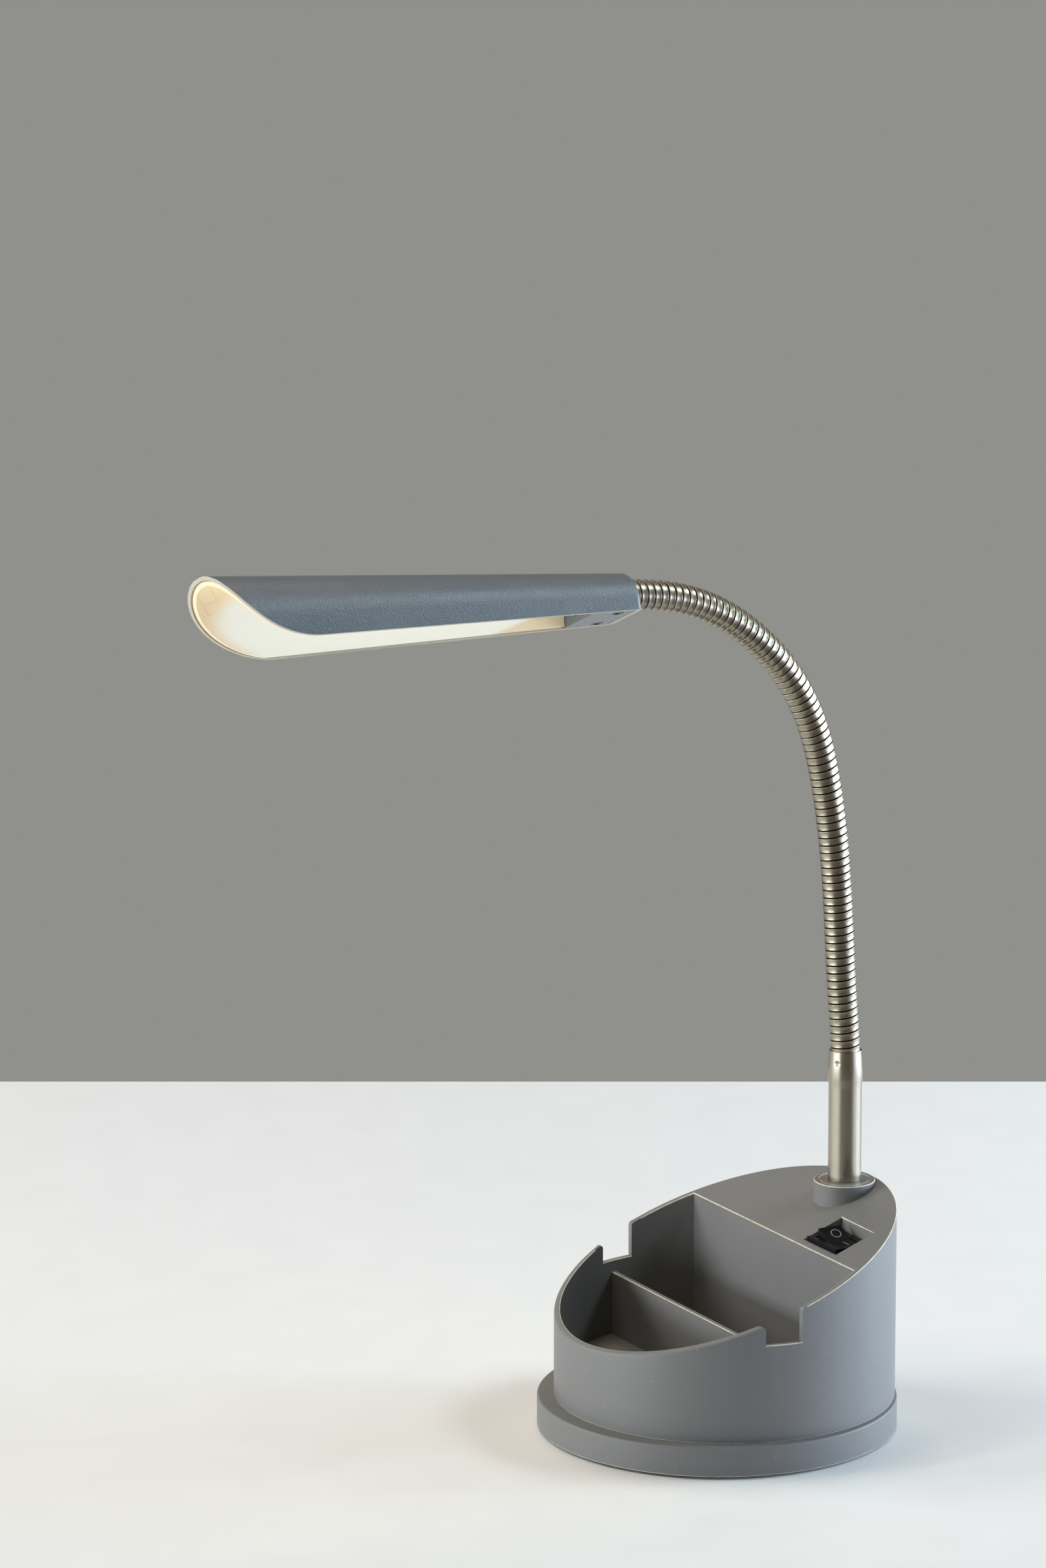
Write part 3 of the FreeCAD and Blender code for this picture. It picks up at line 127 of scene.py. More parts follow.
def ramp(tree, value, low, high, lowOut=0.0, highOut=1.0, kind="SMOOTHSTEP"):
    inputs = {"Value": value, "From Min": low, "From Max": high, "To Min": lowOut, "To Max": highOut}
    return place(tree, "ShaderNodeMapRange", inputs, interpolation_type=kind).outputs["Result"]


def blendColour(tree, factor, first, second):
    return place(tree, "ShaderNodeMix", {0: factor, 6: first, 7: second}, data_type="RGBA").outputs[2]


def noise(tree, vector, scale, detail=2.0, roughness=0.5):
    inputs = {"Vector": vector, "Scale": scale, "Detail": detail, "Roughness": roughness}
    return place(tree, "ShaderNodeTexNoise", inputs).outputs[0]


def noiseOfSize(tree, vector, size, detail, roughness):
    return noise(tree, vector, calc(tree, "DIVIDE", 1.0, size), detail, roughness)


def opaque(colour, level=1.0):
    return (*[part * level for part in colour], 1)


def startGroup(name, inputs, outputs, kind="ShaderNodeTree"):
    group = bpy.data.node_groups.new(name, kind)
    for title, form, value in inputs:
        socket = group.interface.new_socket(title, in_out="INPUT", socket_type="NodeSocket" + form)
        if value is not None:
            socket.default_value = value
    for title, form in outputs:
        group.interface.new_socket(title, in_out="OUTPUT", socket_type="NodeSocket" + form)
    given = group.nodes.new("NodeGroupInput").outputs
    return group, given, group.nodes.new("NodeGroupOutput").inputs


def useGroup(tree, group, **values):
    return place(tree, "ShaderNodeGroup", values, node_tree=group).outputs


grainShape = {
    "detail": 3.0,
    "fineRoughness": 0.6,
    "slowRoughness": 0.55,
    "speckShare": 0.8,      # how much of the drift of tone shows again as specks
}


def makeMouldedGrain(g):
    # spark-eroded mould texture with a slow drift of tone
    tree, given, out = startGroup("mouldedGrain", [
        ("Vector", "Vector", None), ("Colour", "Color", (0.2, 0.2, 0.2, 1)), ("Drift", "Float", 0.1),
        ("DriftSize", "Float", 0.02), ("GrainSize", "Float", 0.0004), ("Roughness", "Float", 0.5),
        ("Spread", "Float", 0.1)],
        [("Color", "Color"), ("Roughness", "Float"), ("Height", "Float")])
    fine = noiseOfSize(tree, given["Vector"], given["GrainSize"], g["detail"], g["fineRoughness"])
    slow = noiseOfSize(tree, given["Vector"], given["DriftSize"], g["detail"], g["slowRoughness"])
    swing = times(tree, minus(tree, slow, 0.5), given["Drift"])
    speck = times(tree, minus(tree, fine, 0.5), times(tree, given["Drift"], g["speckShare"]))
    level = plus(tree, plus(tree, swing, speck), 1.0)
    join(tree, out["Color"], scaled(tree, given["Colour"], level))
    rough = varied(tree, fine, given["Spread"], given["Roughness"])
    join(tree, out["Roughness"], varied(tree, slow, given["Spread"], rough, clamp=True))
    join(tree, out["Height"], fine)
    return tree


wearAndSheenShape = {
    "scale": 420.0,         # patches per metre
    "detail": 4.0,
    "roughness": 0.6,
    "patchFrom": 0.3,
    "patchTo": 0.65,
    "least": 0.6,           # share of the wear and painted highlight between the patches
    "polish": -0.12,        # what full wear adds to the roughness
}


def makeEdgeWearAndSheen(w):
    # rubbed edges, partly wear and partly a painted highlight: a lighter, smoother tone where the mesh says
    # an edge was rounded
    tree, given, out = startGroup("edgeWearAndSheen", [
        ("Vector", "Vector", None), ("Worn", "Float", 0.0), ("Colour", "Color", (0.2, 0.2, 0.2, 1)),
        ("EdgeColour", "Color", (0.3, 0.3, 0.3, 1)), ("Amount", "Float", 0.6), ("Roughness", "Float", 0.5)],
        [("Color", "Color"), ("Roughness", "Float")])
    cloudy = noise(tree, given["Vector"], w["scale"], w["detail"], w["roughness"])
    patchy = ramp(tree, cloudy, w["patchFrom"], w["patchTo"], w["least"], 1.0)
    sheenAndWear = times(tree, given["Worn"], given["Amount"])
    mask = calc(tree, "MULTIPLY", sheenAndWear, patchy, clamp=True)
    join(tree, out["Color"], blendColour(tree, mask, given["Colour"], given["EdgeColour"]))
    rough = calc(tree, "MULTIPLY_ADD", mask, w["polish"], given["Roughness"], clamp=True)
    join(tree, out["Roughness"], rough)
    return tree


speckShape = {
    "core": 0.06,           # radius of a speck's middle and of its faint rim, as shares of a cell
    "rim": 0.2,
}


def makeDustSpecks(d):
    # sparse light specks of dust
    tree, given, out = startGroup("dustSpecks", [
        ("Vector", "Vector", None), ("Size", "Float", 0.001), ("Amount", "Float", 0.2)], [("Mask", "Float")])
    scale = calc(tree, "DIVIDE", 1.0, given["Size"])
    cells = place(tree, "ShaderNodeTexVoronoi", {"Vector": given["Vector"], "Scale": scale}).outputs
    chance = place(tree, "ShaderNodeSeparateColor", {"Color": cells["Color"]}).outputs[0]
    lucky = calc(tree, "LESS_THAN", chance, given["Amount"])
    near = ramp(tree, cells["Distance"], d["core"], d["rim"], 1.0, 0.0)
    join(tree, out["Mask"], times(tree, lucky, near))
    return tree


drawnShape = {
    "cloudScale": 260.0,    # clouds per metre
    "cloudRoughness": 0.6,
    "lineRoughness": 0.65,
    "detail": 4.0,
}


def makeDrawnMetal(d):
    # faint lines left by turning or drawing, with a cloudy sheen
    tree, given, out = startGroup("drawnMetal", [
        ("Vector", "Vector", None), ("Stretch", "Vector", (1, 1, 1)), ("LineSize", "Float", 0.0003),
        ("Roughness", "Float", 0.3), ("Spread", "Float", 0.1), ("Colour", "Color", (0.7, 0.7, 0.7, 1)),
        ("Cloud", "Float", 0.1)],
        [("Color", "Color"), ("Roughness", "Float"), ("Height", "Float")])
    along = vectorCalc(tree, "MULTIPLY", given["Vector"], given["Stretch"])
    lines = noiseOfSize(tree, along, given["LineSize"], d["detail"], d["lineRoughness"])
    cloud = noise(tree, given["Vector"], d["cloudScale"], d["detail"], d["cloudRoughness"])
    rough = varied(tree, lines, given["Spread"], given["Roughness"])
    join(tree, out["Roughness"], varied(tree, cloud, given["Spread"], rough, clamp=True))
    level = varied(tree, cloud, given["Cloud"], 1.0)
    join(tree, out["Color"], scaled(tree, given["Colour"], varied(tree, lines, given["Cloud"], level)))
    join(tree, out["Height"], lines)
    return tree


mouldedGrain = makeMouldedGrain(grainShape)
edgeWearAndSheen = makeEdgeWearAndSheen(wearAndSheenShape)
dustSpecks = makeDustSpecks(speckShape)
drawnMetal = makeDrawnMetal(drawnShape)
print("shared effects built")


def startMaterial(name):
    material = bpy.data.materials.new(name)
    material.use_nodes = True
    tree = material.node_tree
    tree.nodes.clear()
    shader = tree.nodes.new("ShaderNodeBsdfPrincipled")
    output = tree.nodes.new("ShaderNodeOutputMaterial")
    tree.links.new(shader.outputs[0], output.inputs[0])
    spot = tree.nodes.new("ShaderNodeTexCoord").outputs["Object"]
    return material, tree, shader.inputs, spot


def bump(tree, shader, height, depth, strength):
    node = place(tree, "ShaderNodeBump", {"Height": height, "Distance": depth, "Strength": strength})
    join(tree, shader["Normal"], node.outputs[0])


def meshMask(tree, name):
    return place(tree, "ShaderNodeAttribute", attribute_name=name).outputs["Fac"]


def grained(tree, spot, p):
    return useGroup(tree, mouldedGrain, Vector=spot, Colour=opaque(p["colour"]), Drift=p["drift"],
                    DriftSize=p["driftSize"], GrainSize=p["grainSize"], Roughness=p["roughness"],
                    Spread=p["spread"])


def rubbedAndSheened(tree, spot, p, surface):
    return useGroup(tree, edgeWearAndSheen, Vector=spot, Worn=meshMask(tree, "wornAndSheen"), Colour=surface["Color"],
                    EdgeColour=opaque(p["edgeColour"]), Amount=p["edgeAmount"],
                    Roughness=surface["Roughness"])


plainPlastic = {            # sizes and depths in metres; each plastic below gives what differs from this
    "drift": 0.3, "driftSize": 0.006, "grainSize": 0.0003, "grainDepth": 0.00004, "grainStrength": 0.4,
    "roughness": 0.5, "spread": 0.1, "edgeAmount": 0.3, "dustSize": 0.002, "dustAmount": 0.2,
    "dustShow": 0.2, "dustColour": (0.6, 0.6, 0.58), "shine": 0.4,
}


def mouldedPlastic(name, look):
    p = {**plainPlastic, **look}
    material, tree, shader, spot = startMaterial(name)
    grain = grained(tree, spot, p)
    wornAndSheen = rubbedAndSheened(tree, spot, p, grain)
    dust = useGroup(tree, dustSpecks, Vector=spot, Size=p["dustSize"], Amount=p["dustAmount"])["Mask"]
    colour = blendColour(tree, times(tree, dust, p["dustShow"]), wornAndSheen["Color"], opaque(p["dustColour"]))
    if "inside" in p:       # painted lamp light: the inner faces get a lit colour and a faint glow
        inside = meshMask(tree, "inside")
        colour = blendColour(tree, inside, colour, opaque(p["inside"]))
        join(tree, shader["Emission Color"], scaled(tree, p["inside"], inside))
        shader["Emission Strength"].default_value = p["insideGlow"]
    join(tree, shader["Base Color"], colour)
    join(tree, shader["Roughness"], wornAndSheen["Roughness"])
    shader["Specular IOR Level"].default_value = p["shine"]
    bump(tree, shader, grain["Height"], p["grainDepth"], p["grainStrength"])
    return material


# the base's light edge colour is a painted highlight along the rounded rims, together with their wear
basePlastic = mouldedPlastic("base_plastic", {
    "colour": (0.176, 0.178, 0.178), "drift": 0.10, "driftSize": 0.03, "grainSize": 0.00035,
    "grainStrength": 0.35, "roughness": 0.47, "edgeColour": (0.80, 0.73, 0.60), "edgeAmount": 1.0,
    "dustSize": 0.0022, "dustAmount": 0.08, "dustShow": 0.25, "shine": 0.34})
# inside and insideGlow paint the lamp's light onto the shell's inner faces
headPlastic = mouldedPlastic("head_plastic", {
    "colour": (0.094, 0.120, 0.142), "drift": 0.16, "driftSize": 0.02, "grainSize": 0.0006,
    "grainDepth": 0.00022, "grainStrength": 0.8, "roughness": 0.34, "spread": 0.20,
    "edgeColour": (0.24, 0.26, 0.28), "edgeAmount": 0.6, "dustSize": 0.003, "dustAmount": 0.05,
    "shine": 0.8, "inside": (0.42, 0.37, 0.29), "insideGlow": 0.05})
coverPlastic = mouldedPlastic("cover_plastic", {
    "colour": (0.128, 0.142, 0.152), "drift": 0.08, "driftSize": 0.012, "grainSize": 0.0008,
    "grainDepth": 0.00002, "grainStrength": 0.3, "roughness": 0.27, "edgeColour": (0.26, 0.27, 0.28),
    "edgeAmount": 0.5, "dustSize": 0.003, "dustAmount": 0.05, "shine": 0.5})
switchPlastic = mouldedPlastic("switch_black", {
    "colour": (0.007, 0.0075, 0.0085), "driftSize": 0.004, "grainDepth": 0.00003, "roughness": 0.30,
    "spread": 0.14, "edgeColour": (0.02, 0.024, 0.03), "edgeAmount": 0.6, "dustSize": 0.0009,
    "dustAmount": 0.16, "dustShow": 0.14, "shine": 0.06})
matRubber = mouldedPlastic("mat_rubber", {
    "colour": (0.03, 0.03, 0.031), "driftSize": 0.01, "grainSize": 0.0006, "grainDepth": 0.0001,
    "grainStrength": 0.6, "roughness": 0.8, "edgeColour": (0.08, 0.08, 0.08), "dustSize": 0.003,
    "dustAmount": 0.3, "dustShow": 0.3, "shine": 0.25})
glandRubber = mouldedPlastic("gland_rubber", {
    "colour": (0.022, 0.022, 0.024), "grainSize": 0.0004, "grainDepth": 0.00006, "grainStrength": 0.5,
    "roughness": 0.6, "edgeColour": (0.06, 0.06, 0.06), "edgeAmount": 0.4, "dustShow": 0.25, "shine": 0.3})
componentDark = mouldedPlastic("component_dark", {
    "colour": (0.02, 0.02, 0.022), "driftSize": 0.004, "edgeColour": (0.06, 0.06, 0.06)})
boardGreen = mouldedPlastic("board_green", {
    "colour": (0.03, 0.13, 0.05), "roughness": 0.35, "edgeColour": (0.3, 0.32, 0.2), "dustAmount": 0.1,
    "dustShow": 0.3, "shine": 0.5})
boardWhite = mouldedPlastic("board_white", {
    "colour": (0.72, 0.72, 0.70), "drift": 0.08, "grainDepth": 0.00003, "grainStrength": 0.3,
    "roughness": 0.4, "edgeColour": (0.6, 0.6, 0.5), "dustAmount": 0.1})
chipYellow = mouldedPlastic("chip_yellow", {
    "colour": (0.80, 0.55, 0.08), "drift": 0.1, "driftSize": 0.002, "grainSize": 0.0002,
    "grainDepth": 0.00002, "grainStrength": 0.3, "roughness": 0.35, "edgeColour": (0.85, 0.75, 0.4),
    "dustAmount": 0.05, "shine": 0.5})
printWhite = mouldedPlastic("print_white", {
    "colour": (0.42, 0.43, 0.44), "drift": 0.4, "driftSize": 0.0006, "grainSize": 0.0002,
    "grainDepth": 0.00001, "grainStrength": 0.3, "edgeColour": (0.5, 0.5, 0.5), "edgeAmount": 0.2,
    "dustAmount": 0.05, "shine": 0.3})

plainMetal = {              # each metal below gives what differs from this
    "stretch": (1, 1, 1), "lineSize": 0.0004, "depth": 0.00002, "strength": 0.5, "edgeAmount": 0.6,
}


def bareMetal(name, look):
    p = {**plainMetal, **look}
    material, tree, shader, spot = startMaterial(name)
    drawn = useGroup(tree, drawnMetal, Vector=spot, Stretch=p["stretch"], LineSize=p["lineSize"],
                     Roughness=p["roughness"], Spread=p["spread"], Colour=opaque(p["colour"]),
                     Cloud=p["cloud"])
    wornAndSheen = rubbedAndSheened(tree, spot, p, drawn)
    colour = wornAndSheen["Color"]
    height = drawn["Height"]
    # painted shade: faces deep between the turns of the band are darkened
    if "gapShadeColour" in p:
        colour = blendColour(tree, meshMask(tree, "gap"), colour, opaque(p["gapShadeColour"]))
    if "dimple" in p:
        away = vectorCalc(tree, "DISTANCE", spot, p["dimple"])
        dent = ramp(tree, away, p["dimpleInner"], p["dimpleOuter"])
        colour = blendColour(tree, dent, opaque(p["dimpleColour"]), colour)
        height = plus(tree, times(tree, height, p["lineShare"]), dent)
    join(tree, shader["Base Color"], colour)
    join(tree, shader["Roughness"], wornAndSheen["Roughness"])
    shader["Metallic"].default_value = 1.0
    bump(tree, shader, height, p["depth"], p["strength"])
    return material


stemNickel = bareMetal("nickel", {
    "colour": (0.37, 0.335, 0.275), "edgeColour": (0.52, 0.48, 0.42), "stretch": (0.25, 0.25, 1.6),
    "roughness": 0.26, "spread": 0.02, "cloud": 0.03,
    "dimple": (3.2 * mm, 51.5 * mm, 138.6 * mm),     # punched mark below the crimped mouth
    "dimpleInner": 0.5 * mm, "dimpleOuter": 1.3 * mm, "dimpleColour": (0.16, 0.13, 0.10),
    "depth": 0.3 * mm, "lineShare": 0.004})          # depth is the dimple's; the drawn lines have a share
hoseSteel = bareMetal("hose_steel", {
    "colour": (0.31, 0.275, 0.215), "edgeColour": (0.50, 0.46, 0.40), "stretch": (0.5, 0.5, 1.5),
    "roughness": 0.31, "spread": 0.03, "cloud": 0.05, "depth": 0.000002,
    "gapShadeColour": (0.006, 0.005, 0.004)})
zincSteel = bareMetal("zinc_steel", {
    "colour": (0.60, 0.61, 0.62), "edgeColour": (0.8, 0.8, 0.8), "lineSize": 0.0006,
    "roughness": 0.36, "spread": 0.14, "cloud": 0.2})
castSteel = bareMetal("cast_steel", {
    "colour": (0.30, 0.29, 0.28), "edgeColour": (0.5, 0.5, 0.5), "lineSize": 0.002,
    "roughness": 0.6, "spread": 0.2, "cloud": 0.3, "depth": 0.0002})
brassMetal = bareMetal("brass", {
    "colour": (0.72, 0.52, 0.22), "edgeColour": (0.85, 0.7, 0.4), "stretch": (1, 1, 0.2),
    "roughness": 0.32, "spread": 0.12, "cloud": 0.15})

headLean = math.radians(84.6)                       # from upright, towards the front
headRoll = math.radians(24.7)
headRear = Vector((0, -42.557, 334.041)) * mm       # where the head's axis starts
headAxis = Vector((0, -math.sin(headLean), math.cos(headLean)))
headUp = Vector((0, math.cos(headLean), math.sin(headLean))) * math.cos(headRoll)
headUp -= Vector((math.sin(headRoll), 0, 0))
headAcross = headUp.cross(headAxis)

liner = {
    "colour": (0.72, 0.60, 0.40), "drift": 0.05, "driftSize": 0.015, "grainSize": 0.0006,
    "grainDepth": 0.00003, "grainStrength": 0.4, "roughness": 0.42, "spread": 0.08,
    "litColour": (0.32, 0.31, 0.27),
    "glowColour": (0.54, 0.545, 0.48),
    "glow": 1.0,              # strength of the lit zone
    "rest": 0.04,             # share of the glow outside it
    "start": 16 * mm,         # the lit zone, measured from the rear of the head
    "startLean": -2.7,        # it starts further on towards the hem
    "startSoft": 6 * mm,
    "end": 172 * mm,
    "endBow": 90,             # per metre, how much sooner it ends away from its middle
    "endMiddle": -5 * mm,
    "endSoft": 11 * mm,
    "rearGlow": (0.10, 0.075, 0.045),       # spilled light behind the lit zone
    "noseGlow": (0.17, 0.10, 0.035),        # and in front of it
    "tongue": [               # slits round the snap tongue, along and across the head in mm
        ((179.5, -5.5), (170.2, -13.4)), ((178.2, 3.1), (166.0, -11.3)),
        ((170.2, -13.4), (166.0, -11.3)), ((172.8, -10.7), (169.5, -8.8))],
    "slitWidth": 0.35 * mm,
    "slitColour": (0.58, 0.47, 0.31),
    "slitShow": 0.6,
    "slitTop": 6.6 * mm,      # the slits fade out between these heights above the head's axis
    "slitFull": 6.0 * mm,
}


def segmentMask(tree, x, y, start, end, width):
    # 1 on a straight line from start to end, 0 beside it
    dx = end[0] - start[0]
    dy = end[1] - start[1]
    fromX = minus(tree, x, start[0])
    fromY = minus(tree, y, start[1])
    run = plus(tree, times(tree, fromX, dx), times(tree, fromY, dy))
    share = calc(tree, "DIVIDE", run, dx * dx + dy * dy, clamp=True)
    offX = minus(tree, fromX, times(tree, share, dx))
    offY = minus(tree, fromY, times(tree, share, dy))
    away = calc(tree, "SQRT", plus(tree, times(tree, offX, offX), times(tree, offY, offY)))
    return ramp(tree, away, width * 0.5, width, 1.0, 0.0)


def tongueMask(tree, along, up, across, p):
    slits = None
    for first, last in p["tongue"]:
        start = [part * mm for part in first]
        end = [part * mm for part in last]
        mask = segmentMask(tree, along, across, start, end, p["slitWidth"])
        slits = mask if slits is None else calc(tree, "MAXIMUM", slits, mask)
    return times(tree, slits, ramp(tree, up, p["slitTop"], p["slitFull"], 0.0, p["slitShow"]))


def makeLinerMaterial(p):
    material, tree, shader, spot = startMaterial("diffuser_cream")
    grain = grained(tree, spot, p)
    fromRear = vectorCalc(tree, "SUBTRACT", spot, tuple(headRear))
    along = vectorCalc(tree, "DOT_PRODUCT", fromRear, tuple(headAxis))
    up = vectorCalc(tree, "DOT_PRODUCT", fromRear, tuple(headUp))
    across = vectorCalc(tree, "DOT_PRODUCT", fromRear, tuple(headAcross))
    start = calc(tree, "MULTIPLY_ADD", up, p["startLean"], p["start"])
    offMiddle = minus(tree, up, p["endMiddle"])
    end = minus(tree, p["end"], times(tree, times(tree, offMiddle, offMiddle), p["endBow"]))
    lit = times(tree, ramp(tree, minus(tree, along, start), 0.0, p["startSoft"]),
                ramp(tree, minus(tree, end, along), 0.0, p["endSoft"]))
    colour = blendColour(tree, lit, grain["Color"], opaque(p["litColour"]))
    slits = tongueMask(tree, along, up, across, p)
    join(tree, shader["Base Color"], blendColour(tree, slits, colour, opaque(p["slitColour"])))
    join(tree, shader["Roughness"], grain["Roughness"])
    level = ramp(tree, lit, 0.0, 1.0, p["rest"], 1.0, "LINEAR")
    behind = ramp(tree, minus(tree, start, along), -p["startSoft"], 0.0)
    ahead = ramp(tree, minus(tree, along, end), -p["endSoft"], 0.0)
    rearSpill = scaled(tree, p["rearGlow"], behind)
    spill = vectorCalc(tree, "ADD", rearSpill, scaled(tree, p["noseGlow"], ahead))
    glow = vectorCalc(tree, "ADD", scaled(tree, p["glowColour"], level), spill)
    join(tree, shader["Emission Color"], glow)
    shader["Emission Strength"].default_value = p["glow"]
    bump(tree, shader, grain["Height"], p["grainDepth"], p["grainStrength"])
    return material


diffuserCream = makeLinerMaterial(liner)
print("materials built")


def addObject(name, mesh, *materials):
    thing = bpy.data.objects.new(name, mesh)
    bpy.context.scene.collection.objects.link(thing)
    mesh.materials.clear()
    for material in materials:
        mesh.materials.append(material)
    return thing


def evaluatedMesh(thing):
    bpy.context.view_layer.update()
    return bpy.data.meshes.new_from_object(thing.evaluated_get(bpy.context.evaluated_depsgraph_get()))


def setFaceValues(mesh, name, values):
    mesh.attributes.new(name, "FLOAT", "FACE").data.foreach_set("value", values)


def markWorn(thing):
    # rounded edges came out with the second material slot; that becomes the mask for the wear and the painted
    # edge highlight
    faces = thing.data.polygons
    setFaceValues(thing.data, "wornAndSheen", [float(face.material_index == 1) for face in faces])
    for face in faces:
        face.material_index = 0
    thing.data.materials.pop(index=1)


rounding = {
    "weld": 2e-6,             # metres within which corners count as one
    "flat": 0.4,              # degrees below which two faces are made one
    "sharp": 32,              # degrees from which an edge counts as sharp
    "room": 2,                # widths that the shortest edge at a corner must have
    "segments": 2,
    "widths": {"tub": 0.29 * mm, "foot": 0.3 * mm, "small": 0.12 * mm, "none": 0},
}


def weightedMesh(source, name, p, width):
    # sharp convex edges with room enough are weighted for the bevel, and every other sharp one stays sharp
    mesh = bpy.data.meshes.new(name)
    work = bmesh.new()
    work.from_mesh(source)
    bmesh.ops.remove_doubles(work, verts=work.verts, dist=p["weld"])
    bmesh.ops.dissolve_limit(work, angle_limit=math.radians(p["flat"]), verts=work.verts, edges=work.edges)
    weight = work.edges.layers.float.new("bevel_weight_edge")
    for face in work.faces:
        face.smooth = True
    for side in work.edges:
        side.smooth = len(side.link_faces) == 2 and side.calc_face_angle() < math.radians(p["sharp"])
        if not side.smooth and side.is_convex and width > 0:
            room = min(other.calc_length() for corner in side.verts for other in corner.link_edges)
            side.smooth = room > p["room"] * width
            side[weight] = float(side.smooth)
    work.to_mesh(mesh)
    work.free()
    if "custom_normal" in mesh.attributes:
        mesh.attributes.remove(mesh.attributes["custom_normal"])
    return mesh


def roundedCopy(node, name, material, p, width):
    thing = addObject(name, weightedMesh(nodes[node].data, name, p, width), material, material)
    if width > 0:
        edge = thing.modifiers.new("edge", "BEVEL")
        edge.width = width
        edge.segments = p["segments"]
        edge.limit_method = "WEIGHT"
        edge.use_clamp_overlap = False
        edge.material = 1
        edge.miter_outer = "MITER_ARC"
        edge.harden_normals = True
        mesh = evaluatedMesh(thing)
        thing.modifiers.clear()
        thing.data = mesh
    markWorn(thing)
    return thing


shell = {
    "radius": 12.2 * mm,                # outer radius at the rear of the head
    "widening": 8.8 * mm / 0.18,        # what it gains for each metre along the head
    "top": 7.7 * mm,                    # the outer surface's top line above the axis
    "skin": 0.3 * mm,
    "rearWall": 3.2 * mm,
}


def markInside(mesh, p):
    # everything but the head shell's outer surface and rear end; these faces get the painted lamp light
    values = []
    for face in mesh.polygons:
        spot = face.center - headRear
        along, up, across = spot.dot(headAxis), spot.dot(headUp), spot.dot(headAcross)
        radius = p["radius"] + p["widening"] * along
        middle = p["top"] - radius
        reach = math.hypot(across, up - middle) if up > middle else abs(across)
        values.append(float(reach < radius - p["skin"] and along > p["rearWall"]))
    setFaceValues(mesh, "inside", values)


takenOver = [   # node, piece, material, slot, kind of edge, body
    ("organizer_body", "organizer_tub", basePlastic, "base_plastic", "tub", "base"),
    ("base_foot", "foot_ring", basePlastic, "base_plastic", "foot", "base"),
    ("stem_bush", "collar_ring", basePlastic, "base_plastic", "small", "base"),
    ("stem_tube", "stem_sleeve", stemNickel, "nickel", "small", "base"),
    ("switch_housing", "switch_frame", switchPlastic, "switch_black", "small", "base"),
    ("rocker", "rocker_cap", switchPlastic, "switch_black", "small", "rocker"),
    ("cord_gland", "cable_grommet", glandRubber, "gland_rubber", "small", "base"),
    ("head_shell", "head_trough", headPlastic, "head_plastic", "none", "head"),
    ("diffuser", "head_liner", diffuserCream, "diffuser_cream", "none", "head"),
    ("rear_cover", "head_cover", coverPlastic, "head_plastic", "small", "head"),
]
for node, piece, material, slot, kind, body in takenOver:
    thing = roundedCopy(node, piece, material, rounding, rounding["widths"][kind])
    if node == "head_shell":
        markInside(thing.data, shell)
    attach(thing, body)
    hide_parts(node)
    print("rounded", piece, len(thing.data.polygons), "faces")

hose = {
    "start": (57.3 * mm, 136.0 * mm),       # y and z where the neck leaves the stem
    # degrees from upright at the links' ends
    "leans": [0.0, 5.6, 3.3, 3.7, 5.9, 9.5, 14.4, 26.4, 40.8, 52.5, 66.9, 81.2, 84.6],
    "linkLength": 21.35 * mm,
    "pitch": 3.05 * mm,
    "turnsPerLink": 7,
    "joinTurn": 3,                          # turns from a link's start to the place where two skins meet
    "radius": 5.85 * mm,
    "stepsPerTurn": 44,
    "stepsPerLink": 20,
    # half of the band's cross-section: share of the pitch from its middle, and depth below the radius in mm
    "crown": [(0.0, 0.07), (0.2, 0.06), (0.33, 0.02), (0.37, 0.0), (0.40, 0.05), (0.415, 0.22), (0.42, 0.75)],
    "flangeShare": 0.62,
    "flangeFloor": 1.15,
    "flangeTop": (0.72, 0.80),
    "sharp": 48,                            # degrees
    "weld": 1e-7,
    "gapFrom": 0.16 * mm,                   # depth at which the painted shade between the turns starts, and how softly it comes in
    "gapSoft": 0.2 * mm,
}


def centreline(p):
    # the neck's middle line: each link is an arc from one lean to the next
    y, z = p["start"]
    points = [Vector((0, y, z))]
    steps = p["stepsPerLink"]
    step = p["linkLength"] / steps
    for before, after in zip(p["leans"], p["leans"][1:]):
        for k in range(steps):
            lean = math.radians(before + (after - before) * (k + 0.5) / steps)
            y -= step * math.sin(lean)
            z += step * math.cos(lean)
            points.append(Vector((0, y, z)))
    return points


def curveObject(name, points, closed):
    data = bpy.data.curves.new(name, "CURVE")
    data.dimensions = "3D"
    spline = data.splines.new("POLY")
    spline.points.add(len(points) - 1)
    for item, point in zip(spline.points, points):
        item.co = (*point, 1)
    spline.use_cyclic_u = closed
    thing = bpy.data.objects.new(name, data)
    bpy.context.scene.collection.objects.link(thing)
    return thing


def bandProfile(p):
    # closed outline of the wound band: x is radial, y runs down the neck
    crown = [(-share, depth) for share, depth in reversed(p["crown"])] + p["crown"][1:]
    reach, floor = p["flangeShare"], p["flangeFloor"]
    lower, upper = p["flangeTop"]
    outline = [(-reach, lower)] + crown + [(reach, upper), (reach, floor), (-reach, floor)]
    return [Vector((-depth * mm, -share * p["pitch"], 0)) for share, depth in outline]


